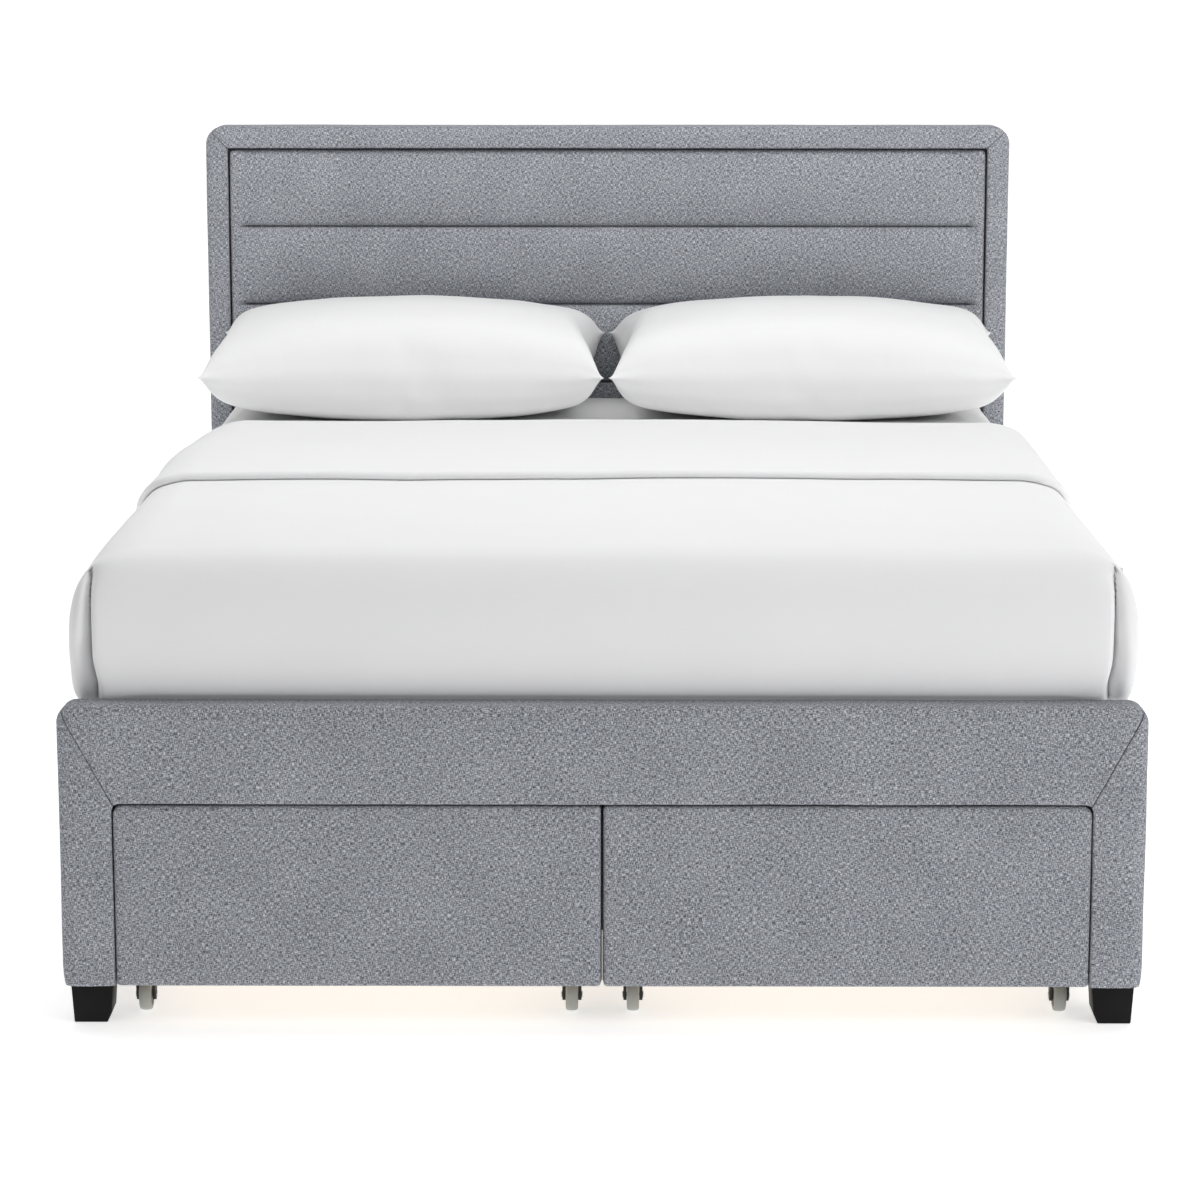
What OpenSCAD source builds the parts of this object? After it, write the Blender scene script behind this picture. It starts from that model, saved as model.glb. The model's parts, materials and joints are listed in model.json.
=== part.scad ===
// Upholstered platform bed with a channelled headboard and two storage drawers
// that roll out from the foot end. Millimetres, +Z up, the foot end towards -Y.
// The origin is on the floor, under the middle of the bed.

/* [Bed frame] */
// Width over the upholstered side rails
frame_w = 1630; // [1580:10:1700]
// Length from the foot end's face to the headboard's back
frame_l = 2180; // [2170:10:2240]
// Height of the headboard
headboard_h = 1252; // [1200:4:1400]
// Thickness of the headboard with its padding
headboard_t = 80; // [78:1:90]
// Width of the padded border round the headboard
border_w = 44; // [40:1:60]
// Height of the foot end
foot_h = 502; // [490:2:540]
// Thickness of the foot end
foot_t = 60; // [56:1:64]
// Width of the posts beside the drawers
post_w = 80; // [76:1:90]
// Depth of the padded rail above the drawers
foot_rail_h = 149; // [140:1:155]
// Thickness of a padded side rail
side_rail_t = 38; // [34:1:40]
// Height of the legs, and of the upholstery's lower edge
leg_h = 70; // [66:1:80]

/* [Headboard padding] */
// Number of horizontal channels
channels = 4; // [3:1:5]
// Distance from seam to seam
channel_pitch = 159; // [150:1:165]

/* [Mattress and bedding] */
// Width of the mattress
mattress_w = 1530; // [1480:10:1530]
// Length of the mattress
mattress_l = 2030; // [1980:10:2030]
// Thickness of the mattress
mattress_t = 290; // [200:10:300]
// Thickness of the spread duvet
duvet_t = 17; // [10:1:30]
// Length of the duvet's turned-down end
turn_down_l = 664; // [400:4:800]
// Width of a pillow from corner to corner
pillow_w = 775; // [700:5:780]
// Depth of a pillow
pillow_l = 490; // [450:5:520]
// Thickness of a pillow at its middle
pillow_t = 228; // [150:2:240]

/* [Slatted base] */
// Number of slats in each of the two columns
slats = 14; // [10:1:16]
// Width of one slat
slat_w = 55; // [45:1:60]
// Thickness of one slat
slat_t = 8; // [6:1:10]
// Height of the slats' holders above the floor, which carry the mattress
base_top = 415; // [410:1:420]

/* [Drawers] */
// Length of a drawer box behind its front
box_l = 860; // [600:10:900]
// Height of a drawer box's walls
box_wall_h = 230; // [180:5:240]
// Thickness of the box's boards
box_t = 15; // [12:1:18]
// Gap round a drawer front
front_gap = 2; // [1.5:0.5:3]
// Thickness of a drawer front
front_t = 30; // [26:1:34]

/* [Castors] */
// Diameter of a castor wheel
wheel_d = 50; // [46:1:50]
// Width of a castor wheel
wheel_w = 19; // [16:1:20]
// Radius of a castor's axle
axle_r = 3; // [2.5:0.5:3]
// Running clearance of a wheel on its axle
axle_play = 0.06; // [0.03:0.01:0.09]

/* [Hidden] */
$fn = 64;
e = 0.5;                                   // overshoot of a cut
y_foot = -frame_l / 2;                     // foot end's face
y_head = frame_l / 2;                      // headboard's back
x_side = frame_w / 2;                      // outer face of a side rail
x_rail = x_side - side_rail_t;             // inner face of a side rail
x_post = x_side - post_w;                  // inner face of a post
y_rail_foot = y_foot + foot_t;             // back of the foot end
y_rail_head = y_head - headboard_t;        // front of the headboard's border
opening_top = foot_h - foot_rail_h;        // lower edge of the rail over the drawers
pad = 12;                                  // padding round the foot end's boards
back_pad = 10;                             // padding on the foot end's inner face
y_foot_board = y_foot + pad;
y_foot_board_back = y_rail_foot - back_pad;
side_pad = 16;                             // padding on a side rail's outer face
side_wrap = 8;                             // fabric and felt over a side rail's edges
side_rail_top = foot_h - 32;
foot_corner_r = 25;
mitre_drop = 15;                           // mitre's outer end below the foot end's top
head_corner_r = 36;
board_inset = 12;                          // headboard's padding round its board
border_depth = 35;                         // border's thickness in front of the board
cover_t = 3;                               // headboard's back cover
seam_gap = 6;                              // shadow gap between border and channel panel
y_board = y_rail_head + border_depth;      // front face of the headboard's board
border_top = headboard_h - border_w;       // the border's inner upper edge
panel_bottom = border_top - channels * channel_pitch;
lower_panel_t = 10;
channel_round = 14;                        // rounding of a channel's long edges
channel_set_back = 2;                      // channel faces behind the border's face

leg_d = 58;                                // depth of a leg
leg_top_in = 9;                            // leg's inner top edge inside the post's inner face
leg_foot_in = 12.5;
leg_out = 6;                               // leg's outer edge inside the rail's outer face
leg_foot_out = 10;
leg_chamfer = [7, 17];

ledger_w = 30;
ledger_h = 26;
cap_h = 14;                                // slat holder's height
cap_wall = 2;
cap_w = slat_w + 2 * cap_wall;
cap_l = 31;
cap_grip = 25;                             // length of slat inside its holder
centre_cap_w = 80;
ledger_top = base_top - cap_h;
beam_w = 50;
beam_h = 40;
bracket_t = 3;
bracket_w = 90;
bracket_reach = 40;
centre_leg_r = 15;
centre_pad_r = 20;
centre_pad_h = 8;
front_leg_y = y_foot + 590;
rear_leg_y = y_foot + 1500;
beam_end_foot = y_rail_foot + bracket_t;
beam_end_head = y_board - lower_panel_t - bracket_t;

block_w = 40;                              // corner block's width across the bed
block_foot_l = 45;
block_head_l = 70;
block_bottom = leg_h + side_wrap;
block_top = ledger_top - ledger_h;
bolt_r = 4;
bolt_head_r = 8;
bolt_head_t = 4;
bolt_reach = 18;                           // bolt's length inside a side rail's board
bolt_drop = [60, 220];                     // bolts' distances below a block's top
bolt_rows = [y_rail_foot + block_foot_l / 2, y_rail_head - 10];

mattress_y0 = y_rail_foot + 5;
mattress_top = base_top + mattress_t;
mattress_round = 30;
bed_play = 0.3;                            // gap between neighbouring soft pieces
slat_in = 60;                              // first slat's middle inside the mattress's end
slat_first = mattress_y0 + slat_in;
slat_pitch = (mattress_l - 2 * slat_in) / (slats - 1);
slat_end = x_rail - cap_l + cap_grip - 1;
slat_start = centre_cap_w / 2 - cap_grip;
slat_low = ledger_top + (cap_h - slat_t) / 2;
duvet_side = 43;                           // duvet's swell beyond the mattress's side
duvet_front = 20;
duvet_bottom = foot_h + 4;                 // above the foot end's rail
duvet_side_bottom = side_rail_top + 4;
duvet_round = 40;
duvet_head_y = y_foot + 1490;              // head end of the turned-down duvet
turn_down_t = 16;
turn_down_side = 20;
turn_down_overlap = 4;

front_w = x_post - 2 * front_gap;          // one drawer front's width
front_x = front_gap;                       // inner edge of a drawer front
front_bottom = leg_h;
front_top = opening_top - 3;
front_set_back = 2;
front_wrap = 8;                            // padding over a drawer front's edges and face
y_front = y_foot + front_set_back;
y_box = y_front + front_t;
y_box_end = y_box + box_l;
box_x0 = 22;                               // inner wall's face nearest the bed's middle
box_x1 = x_post - 7;
base_t = 12;
base_bottom = 76;
wall_bottom = base_bottom + base_t;
wall_top = wall_bottom + box_wall_h;

wheel_r = wheel_d / 2;
castor_in = 25;                            // wheel's middle inside the box's side
castor_front_y = y_foot + 118;
castor_rear_y = y_box_end - 60;
ear_play = 0.3;
ear_t = 5;
ear_r = 9;
ear_top_w = 34;
castor_plate = [40, 54, 3];
axle_head_r = 5;
axle_head_t = 1.5;
hub_r = 9;
web_w = 13;
tread_h = 5;

sides = ["left", "right"];
ends = ["front", "rear"];
lanes = ["outer", "inner"];
function sgn(side) = side == "right" ? 1 : -1;
function wheel_name(side, end, lane) = str("drawer_", side, "_wheel_", end, "_", lane);
function castor_x(lane) = lane == "outer" ? box_x1 - castor_in : box_x0 + castor_in;
function castor_y(end) = end == "front" ? castor_front_y : castor_rear_y;
function joined(lists) = [for (l = lists, v = l) v];

FRAME_NODES = [
    "headboard_board", "headboard_border_left", "headboard_border_right",
    "headboard_border_top", "headboard_channel_panel", "headboard_lower_panel",
    "headboard_back_cover", "side_rail_board_left", "side_rail_board_right",
    "side_rail_cover_left", "side_rail_cover_right", "foot_rail_board",
    "foot_post_board_left", "foot_post_board_right", "foot_rail_cover",
    "foot_post_cover_left", "foot_post_cover_right", "leg_foot_left", "leg_foot_right",
    "leg_head_left", "leg_head_right", "slat_ledger_left", "slat_ledger_right",
    "centre_beam", "centre_beam_brackets", "centre_leg_front", "centre_leg_rear",
    "slats_left", "slats_right", "slat_holders", "corner_blocks", "frame_bolts",
    "mattress", "duvet", "pillow_left", "pillow_right"
];
DRAWER_PIECES = [
    "front_board", "front_cover", "side_outer", "side_inner", "back", "base",
    "castor_forks", "castor_axles"
];

// ---- shapes used by several pieces ----

// The module's children, mirrored across the bed for the left side
module on_side(side) {
    if (side == "right") children();
    else mirror([1, 0, 0]) children();
}

// A box from its lowest corner to its highest corner
module block(low, high) {
    translate(low) cube(high - low);
}

// An upright outline drawn in X and Z, made solid from y0 to y1
module upright(y0, y1) {
    translate([0, y1, 0]) rotate([90, 0, 0]) linear_extrude(y1 - y0) children();
}

// A rectangle with its two upper corners rounded, centred on X
module arch(half_w, z0, z1, r) {
    translate([-half_w, z0]) square([2 * half_w, z1 - z0 - r]);
    translate([-half_w + r, z0]) square([2 * (half_w - r), z1 - z0]);
    for (x = [-1, 1]) translate([x * (half_w - r), z1 - r]) circle(r);
}

// A rectangle with all its corners rounded, from its low corner
module rounded(size, r) {
    translate([r, 0]) square([size[0] - 2 * r, size[1]]);
    translate([0, r]) square([size[0], size[1] - 2 * r]);
    for (x = [r, size[0] - r], y = [r, size[1] - r]) translate([x, y]) circle(r);
}

// ---- headboard ----

module headboard_outline() arch(x_side, leg_h, headboard_h, head_corner_r);

module headboard_board_outline()
    arch(x_side - board_inset, leg_h + 4, headboard_h - board_inset,
        head_corner_r - board_inset);

// The border's front strip and the strip round the board's edge, before mitring
module headboard_border() {
    upright(y_rail_head, y_board) difference() {
        headboard_outline();
        translate([-(x_side - border_w), leg_h - e])
            square([2 * (x_side - border_w), border_top - leg_h + e]);
    }
    upright(y_board, y_head - cover_t) difference() {
        headboard_outline();
        headboard_board_outline();
        translate([-(x_side - board_inset), leg_h - e])
            square([2 * (x_side - board_inset), 5]);
    }
}

// The part of the headboard above the two mitre lines
module headboard_top_region() {
    upright(y_rail_head - e, y_head + e) polygon([
        [-x_side - e, headboard_h + e], [x_side + e, headboard_h + e],
        [x_side - border_w, border_top], [-x_side + border_w, border_top]
    ]);
}

module headboard_board() {
    color("burlywood")
        upright(y_board, y_head - cover_t) headboard_board_outline();
}

module headboard_border_side(side) {
    color([0.57, 0.58, 0.61]) on_side(side) difference() {
        headboard_border();
        headboard_top_region();
        block([-x_side - e, y_rail_head - e, 0], [0, y_head + e, headboard_h + e]);
    }
}

module headboard_border_top() {
    color([0.59, 0.60, 0.63]) intersection() {
        headboard_border();
        headboard_top_region();
    }
}

// One channel's section, drawn in Y and Z: flat at the back, rounded in front
module channel_section() {
    depth = border_depth - channel_set_back;
    translate([channel_round, 0]) square([depth - channel_round, channel_pitch]);
    translate([0, channel_round]) square([channel_round, channel_pitch - 2 * channel_round]);
    for (z = [channel_round, channel_pitch - channel_round])
        translate([channel_round, z]) circle(channel_round);
}

module headboard_channel_panel() {
    half = x_side - border_w - seam_gap;
    front = y_rail_head + channel_set_back;
    color([0.56, 0.58, 0.61]) intersection() {
        for (i = [0:channels - 1])
            translate([-half, front, panel_bottom + i * channel_pitch])
                rotate([90, 0, 90]) linear_extrude(2 * half) channel_section();
        block([-half, front, panel_bottom + seam_gap], [half, y_board, border_top - seam_gap]);
    }
}

module headboard_lower_panel() {
    half = x_side - border_w;
    color([0.54, 0.55, 0.58])
        block([-half, y_board - lower_panel_t, leg_h + 4], [half, y_board, panel_bottom]);
}

module headboard_back_cover() {
    inset = 3;
    color([0.25, 0.25, 0.27]) upright(y_head - cover_t, y_head)
        arch(x_side - inset, leg_h + inset, headboard_h - inset, head_corner_r - inset);
}

// ---- side rails and foot end ----

module bolt_holes(side) {
    on_side(side) for (y = bolt_rows, drop = bolt_drop)
        translate([x_rail - block_w - e, y, block_top - drop])
            rotate([0, 90, 0]) cylinder(h = block_w + bolt_reach + e, r = bolt_r);
}

module side_rail_board(side) {
    color("burlywood") difference() {
        on_side(side) block([x_rail, y_rail_foot, leg_h + side_wrap],
            [x_side - side_pad, y_rail_head, side_rail_top - side_wrap]);
        bolt_holes(side);
    }
}

module side_rail_cover(side) {
    color([0.55, 0.56, 0.59]) on_side(side) difference() {
        block([x_rail, y_rail_foot, leg_h], [x_side, y_rail_head, side_rail_top]);
        block([x_rail - e, y_rail_foot - e, leg_h + side_wrap],
            [x_side - side_pad, y_rail_head + e, side_rail_top - side_wrap]);
    }
}

module foot_rail_board_shape() {
    block([-x_side + pad, y_foot_board, opening_top + pad],
        [x_side - pad, y_foot_board_back, foot_h - pad]);
}

module foot_post_board_shape(side) {
    on_side(side) block([x_post + pad, y_foot_board, leg_h + 4],
        [x_side - pad, y_foot_board_back, opening_top + pad]);
}

module foot_rail_board() {
    color("burlywood") foot_rail_board_shape();
}

module foot_post_board(side) {
    color("burlywood") foot_post_board_shape(side);
}

// The whole upholstered cover of the foot end, hollow for its boards
module foot_cover() {
    difference() {
        upright(y_foot, y_rail_foot) difference() {
            arch(x_side, leg_h, foot_h, foot_corner_r);
            translate([-x_post, leg_h - e]) square([2 * x_post, opening_top - leg_h + e]);
        }
        foot_rail_board_shape();
        for (s = sides) foot_post_board_shape(s);
    }
}

// Below the mitre line, from the drawer opening's corner to the foot end's outer corner
module foot_post_region() {
    upright(y_foot - e, y_rail_foot + e) polygon([
        [x_post - e, leg_h - e], [x_side, leg_h - e], [x_side, foot_h - mitre_drop],
        [x_post, opening_top], [x_post - e, opening_top]
    ]);
}

module foot_rail_cover() {
    color([0.55, 0.56, 0.59]) difference() {
        foot_cover();
        for (s = sides) on_side(s) foot_post_region();
    }
}

module foot_post_cover(side) {
    color([0.54, 0.55, 0.58]) on_side(side) intersection() {
        foot_cover();
        foot_post_region();
    }
}

// A tapered block leg with its lower inner corner cut off, for the right side
module leg(y0) {
    lean = 4;
    inner = x_post + leg_top_in;
    outer = x_side - leg_out;
    foot_inner = x_post + leg_foot_in;
    foot_outer = x_side - leg_foot_out;
    intersection() {
        upright(y0, y0 + leg_d) polygon([
            [inner, leg_h], [foot_inner, leg_chamfer[1]],
            [foot_inner + leg_chamfer[0], 0], [foot_outer, 0], [outer, leg_h]
        ]);
        translate([inner - e, 0, 0]) rotate([90, 0, 90]) linear_extrude(post_w) polygon([
            [y0, leg_h], [y0 + lean, 0], [y0 + leg_d - lean, 0], [y0 + leg_d, leg_h]
        ]);
    }
}

module leg_foot(side) {
    color([0.11, 0.11, 0.11]) on_side(side) leg(y_foot + 45);
}

module leg_head(side) {
    color([0.11, 0.11, 0.11]) on_side(side) leg(y_head - cover_t - leg_d - 2);
}

// ---- slatted base ----

module slat_ledger(side) {
    color("tan") on_side(side)
        block([x_rail - ledger_w, y_rail_foot, block_top], [x_rail, y_rail_head, ledger_top]);
}

module centre_beam() {
    color("tan") block([-beam_w / 2, beam_end_foot, ledger_top - beam_h],
        [beam_w / 2, beam_end_head, ledger_top]);
}

// A steel seat that holds one end of the centre beam, drawn at the foot end
module beam_bracket() {
    low = ledger_top - beam_h;
    half = beam_w / 2 + bracket_t;
    block([-bracket_w / 2, 0, low - bracket_t], [bracket_w / 2, bracket_t, ledger_top]);
    block([-half, 0, low - bracket_t], [half, bracket_reach, low]);
    for (s = [-1, 1]) translate([s * (half - bracket_t / 2), 0, 0])
        block([-bracket_t / 2, 0, low - bracket_t], [bracket_t / 2, bracket_reach, ledger_top - 8]);
}

module centre_beam_brackets() {
    color("dimgray") {
        translate([0, y_rail_foot, 0]) beam_bracket();
        translate([0, y_board - lower_panel_t, 0]) mirror([0, 1, 0]) beam_bracket();
    }
}

module centre_leg(y) {
    color("dimgray") translate([0, y, 0]) {
        cylinder(h = ledger_top - beam_h, r = centre_leg_r);
        cylinder(h = centre_pad_h, r = centre_pad_r);
    }
}

// The space that one slat takes up, from its inner end to its outer end
module slat_space() {
    block([slat_start, -slat_w / 2, slat_low], [slat_end, slat_w / 2, slat_low + slat_t]);
}

module slat_column(side) {
    color("wheat") on_side(side) for (i = [0:slats - 1])
        translate([0, slat_first + i * slat_pitch, 0]) slat_space();
}

// Plastic holders: one at each slat's outer end, and a double one over the beam
module slat_holders() {
    color([0.15, 0.15, 0.16]) for (i = [0:slats - 1])
        translate([0, slat_first + i * slat_pitch, 0]) {
            for (s = sides) on_side(s) difference() {
                block([x_rail - cap_l - 1, -cap_w / 2, ledger_top], [x_rail - 1, cap_w / 2, base_top]);
                slat_space();
            }
            difference() {
                block([-centre_cap_w / 2, -cap_w / 2, ledger_top],
                    [centre_cap_w / 2, cap_w / 2, base_top]);
                for (s = sides) on_side(s) slat_space();
            }
        }
}

module corner_blocks() {
    color("burlywood") for (s = sides) difference() {
        on_side(s) {
            block([x_rail - block_w, y_rail_foot, block_bottom],
                [x_rail, y_rail_foot + block_foot_l, block_top]);
            block([x_rail - block_w, y_board - lower_panel_t - block_head_l, block_bottom],
                [x_rail, y_rail_head, block_top]);
        }
        bolt_holes(s);
    }
}

module frame_bolts() {
    color("silver") for (s = sides) on_side(s) for (y = bolt_rows, drop = bolt_drop)
        translate([x_rail - block_w, y, block_top - drop]) rotate([0, 90, 0]) {
            cylinder(h = block_w + bolt_reach, r = bolt_r);
            translate([0, 0, -bolt_head_t]) cylinder(h = bolt_head_t, r = bolt_head_r);
        }
}

// ---- mattress and bedding ----

module mattress() {
    color([0.93, 0.93, 0.92]) translate([-mattress_w / 2, mattress_y0, base_top])
        linear_extrude(mattress_t) rounded([mattress_w, mattress_l], mattress_round);
}

// The duvet lies over the mattress, swells at the sides and stops above the rails
module duvet() {
    half = mattress_w / 2 + duvet_side;
    front = mattress_y0 - duvet_front;
    top = mattress_top + duvet_t;
    inner = mattress_w / 2 + bed_play;
    color([0.96, 0.96, 0.95]) {
        difference() {
            upright(front, duvet_head_y) arch(half, duvet_side_bottom, top, duvet_round);
            block([-half - e, front - e, 0], [half + e, y_rail_foot + bed_play, duvet_bottom]);
            block([-inner, mattress_y0 - bed_play, 0],
                [inner, duvet_head_y + e, mattress_top + bed_play]);
        }
        upright(duvet_head_y - turn_down_l, duvet_head_y) arch(mattress_w / 2 + turn_down_side,
            top - turn_down_overlap, top + turn_down_t, turn_down_t / 2);
    }
}

// A plump pillow: a thin seam round its edge and a thick middle
module pillow(side) {
    corner_r = 14;
    middle_r = 70;
    middle_in = 150;
    gap = 6;
    front_y = y_rail_head - 6 - pillow_l;
    seam_z = mattress_top + pillow_t / 2 - 10;
    color([0.97, 0.97, 0.96]) on_side(side) hull() {
        for (x = [gap + corner_r, gap + pillow_w - corner_r],
                y = [front_y + corner_r, front_y + pillow_l - corner_r])
            translate([x, y, seam_z]) sphere(corner_r, $fn = 16);
        for (x = [gap + middle_in, gap + pillow_w - middle_in],
                y = [front_y + middle_in, front_y + pillow_l - middle_in],
                z = [mattress_top + bed_play + middle_r, mattress_top + pillow_t - middle_r])
            translate([x, y, z]) sphere(middle_r, $fn = 32);
    }
}

// ---- drawers ----

// The space inside a drawer front's upholstery, which its board fills
module front_board_space(y1) {
    block([front_x + front_wrap, y_front + front_wrap, front_bottom + front_wrap],
        [front_x + front_w - front_wrap, y1, front_top - front_wrap]);
}

module drawer_front_board(side) {
    color("burlywood") on_side(side) front_board_space(y_box);
}

module drawer_front_cover(side) {
    color([0.53, 0.54, 0.57]) on_side(side) difference() {
        translate([front_x, 0, front_bottom])
            upright(y_front, y_box) rounded([front_w, front_top - front_bottom], 6);
        front_board_space(y_box + e);
    }
}

module drawer_side_outer(side) {
    color("wheat") on_side(side)
        block([box_x1 - box_t, y_box, wall_bottom], [box_x1, y_box_end, wall_top]);
}

module drawer_side_inner(side) {
    color("wheat") on_side(side)
        block([box_x0, y_box, wall_bottom], [box_x0 + box_t, y_box_end, wall_top]);
}

module drawer_back(side) {
    color("wheat") on_side(side)
        block([box_x0 + box_t, y_box_end - box_t, wall_bottom],
            [box_x1 - box_t, y_box_end, wall_top]);
}

module drawer_base(side) {
    color("wheat") on_side(side)
        block([box_x0, y_box, base_bottom], [box_x1, y_box_end, wall_bottom]);
}

// ---- castors ----

// The children, once at each of a drawer's four castors, at the axle's middle
module at_castors(side) {
    on_side(side) for (n = ends, l = lanes)
        translate([castor_x(l), castor_y(n), wheel_r]) children();
}

// One cheek of a fork: a tapered plate with a round lower end, bored for the axle
module castor_ear() {
    rise = base_bottom - wheel_r - castor_plate[2];
    rotate([90, 0, 90]) linear_extrude(ear_t, center = true) difference() {
        union() {
            circle(ear_r);
            polygon([[-ear_r, 0], [ear_r, 0], [ear_top_w / 2, rise], [-ear_top_w / 2, rise]]);
        }
        circle(axle_r);
    }
}

module castor_fork() {
    rise = base_bottom - wheel_r - castor_plate[2];
    translate([-castor_plate[0] / 2, -castor_plate[1] / 2, rise]) cube(castor_plate);
    for (s = [-1, 1]) translate([s * (wheel_w / 2 + ear_play + ear_t / 2), 0, 0]) castor_ear();
}

module drawer_castor_forks(side) {
    color([0.12, 0.12, 0.13]) at_castors(side) castor_fork();
}

module castor_axle() {
    half = wheel_w / 2 + ear_play + ear_t;
    rotate([0, 90, 0]) {
        cylinder(h = 2 * half, r = axle_r, center = true);
        for (s = [-1, 1]) translate([0, 0, s * (half + axle_head_t / 2)])
            cylinder(h = axle_head_t, r = axle_head_r, center = true);
    }
}

module drawer_castor_axles(side) {
    color("silver") at_castors(side) castor_axle();
}

// A wheel with a hub, a thinner web and a rounded tread
module castor_wheel() {
    edge = 2;
    inner_tread = wheel_r - tread_h;
    rotate([0, 90, 0]) rotate_extrude($fn = 96) difference() {
        union() {
            translate([0, -wheel_w / 2]) square([hub_r, wheel_w]);
            translate([0, -web_w / 2]) square([inner_tread + 1, web_w]);
            translate([inner_tread, -wheel_w / 2]) square([tread_h - edge, wheel_w]);
            translate([inner_tread, -wheel_w / 2 + edge]) square([tread_h, wheel_w - 2 * edge]);
            for (s = [-1, 1]) translate([wheel_r - edge, s * (wheel_w / 2 - edge)]) circle(edge);
        }
        translate([-e, -wheel_w]) square([axle_r + axle_play + e, 2 * wheel_w]);
    }
}

module drawer_wheel(side, end, lane) {
    color([0.66, 0.67, 0.64]) on_side(side)
        translate([castor_x(lane), castor_y(end), wheel_r]) castor_wheel();
}

// ---- the pieces by name ----

headboard_board();
headboard_border_side("left");  // headboard_border_left
headboard_border_side("right");  // headboard_border_right
headboard_border_top();
headboard_channel_panel();
headboard_lower_panel();
headboard_back_cover();
side_rail_board("left");  // side_rail_board_left
side_rail_board("right");  // side_rail_board_right
side_rail_cover("left");  // side_rail_cover_left
side_rail_cover("right");  // side_rail_cover_right
foot_rail_board();
foot_post_board("left");  // foot_post_board_left
foot_post_board("right");  // foot_post_board_right
foot_rail_cover();
foot_post_cover("left");  // foot_post_cover_left
foot_post_cover("right");  // foot_post_cover_right
leg_foot("left");  // leg_foot_left
leg_foot("right");  // leg_foot_right
leg_head("left");  // leg_head_left
leg_head("right");  // leg_head_right
slat_ledger("left");  // slat_ledger_left
slat_ledger("right");  // slat_ledger_right
centre_beam();
centre_beam_brackets();
centre_leg(front_leg_y);  // centre_leg_front
centre_leg(rear_leg_y);  // centre_leg_rear
slat_column("left");  // slats_left
slat_column("right");  // slats_right
slat_holders();
corner_blocks();
frame_bolts();
mattress();
duvet();
pillow("left");  // pillow_left
pillow("right");  // pillow_right
for (s = sides) {
    drawer_front_board(s);
    drawer_front_cover(s);
    drawer_side_outer(s);
    drawer_side_inner(s);
    drawer_back(s);
    drawer_base(s);
    drawer_castor_forks(s);
    drawer_castor_axles(s);
    for (n = ends, l = lanes)
        drawer_wheel(s, n, l);
}
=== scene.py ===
"""The looks of the upholstered platform bed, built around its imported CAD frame. Metres."""
import json
import math

import bmesh
import bpy
import numpy as np
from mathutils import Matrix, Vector, noise

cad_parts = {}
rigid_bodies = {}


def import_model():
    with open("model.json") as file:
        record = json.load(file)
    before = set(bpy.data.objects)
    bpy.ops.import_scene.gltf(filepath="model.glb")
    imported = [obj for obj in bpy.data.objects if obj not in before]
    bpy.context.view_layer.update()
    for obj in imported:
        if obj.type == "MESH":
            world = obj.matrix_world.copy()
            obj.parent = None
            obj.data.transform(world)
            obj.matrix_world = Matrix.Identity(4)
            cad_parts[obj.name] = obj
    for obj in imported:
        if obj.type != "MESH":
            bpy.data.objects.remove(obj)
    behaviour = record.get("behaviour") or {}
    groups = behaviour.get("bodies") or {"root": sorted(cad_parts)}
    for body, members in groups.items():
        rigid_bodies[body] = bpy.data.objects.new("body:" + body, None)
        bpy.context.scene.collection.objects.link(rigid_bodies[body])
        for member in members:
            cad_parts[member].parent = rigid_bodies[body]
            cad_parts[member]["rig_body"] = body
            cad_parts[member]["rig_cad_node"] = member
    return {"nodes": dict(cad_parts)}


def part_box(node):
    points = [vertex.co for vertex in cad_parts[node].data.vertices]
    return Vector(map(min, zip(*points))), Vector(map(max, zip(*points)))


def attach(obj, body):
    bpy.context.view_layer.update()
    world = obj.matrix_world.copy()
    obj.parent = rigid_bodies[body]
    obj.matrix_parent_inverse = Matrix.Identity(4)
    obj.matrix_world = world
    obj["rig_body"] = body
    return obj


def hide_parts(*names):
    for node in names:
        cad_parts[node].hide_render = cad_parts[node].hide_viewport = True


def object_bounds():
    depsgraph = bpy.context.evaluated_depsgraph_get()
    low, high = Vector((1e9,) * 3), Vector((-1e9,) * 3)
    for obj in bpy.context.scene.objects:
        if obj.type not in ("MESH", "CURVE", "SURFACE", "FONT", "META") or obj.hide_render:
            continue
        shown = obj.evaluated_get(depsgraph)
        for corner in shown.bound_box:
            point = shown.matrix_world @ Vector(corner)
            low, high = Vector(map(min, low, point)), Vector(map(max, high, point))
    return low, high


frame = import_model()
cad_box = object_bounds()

MM = 0.001
SIDES = {"left": -1, "right": 1}

# ---- places taken from the frame ----

LOW, HIGH = cad_box
X_SIDE = HIGH.x  # outer face of the side rails
Y_FOOT = LOW.y
FOOT_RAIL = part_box("foot_rail_cover")
FOOT_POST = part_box("foot_post_cover_right")
X_POST = FOOT_POST[0].x  # a post's inner face
OPENING_TOP = FOOT_RAIL[0].z
FOOT_TOP = FOOT_RAIL[1].z
Y_FOOT_BACK = FOOT_RAIL[1].y
LEG_H = FOOT_POST[0].z
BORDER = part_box("headboard_border_right")
BORDER_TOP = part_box("headboard_border_top")
HEAD_TOP = BORDER_TOP[1].z
Y_BORDER = BORDER[0].y
X_BORDER_IN = BORDER[0].x
Z_BORDER_IN = BORDER_TOP[0].z
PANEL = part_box("headboard_channel_panel")


# ---- mesh helpers ----

def make_object(name, verts, faces):
    mesh = bpy.data.meshes.new(name)
    mesh.from_pydata([tuple(v) for v in verts], [], faces)
    mesh.validate()
    obj = bpy.data.objects.new(name, mesh)
    bpy.context.scene.collection.objects.link(obj)
    return obj


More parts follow.
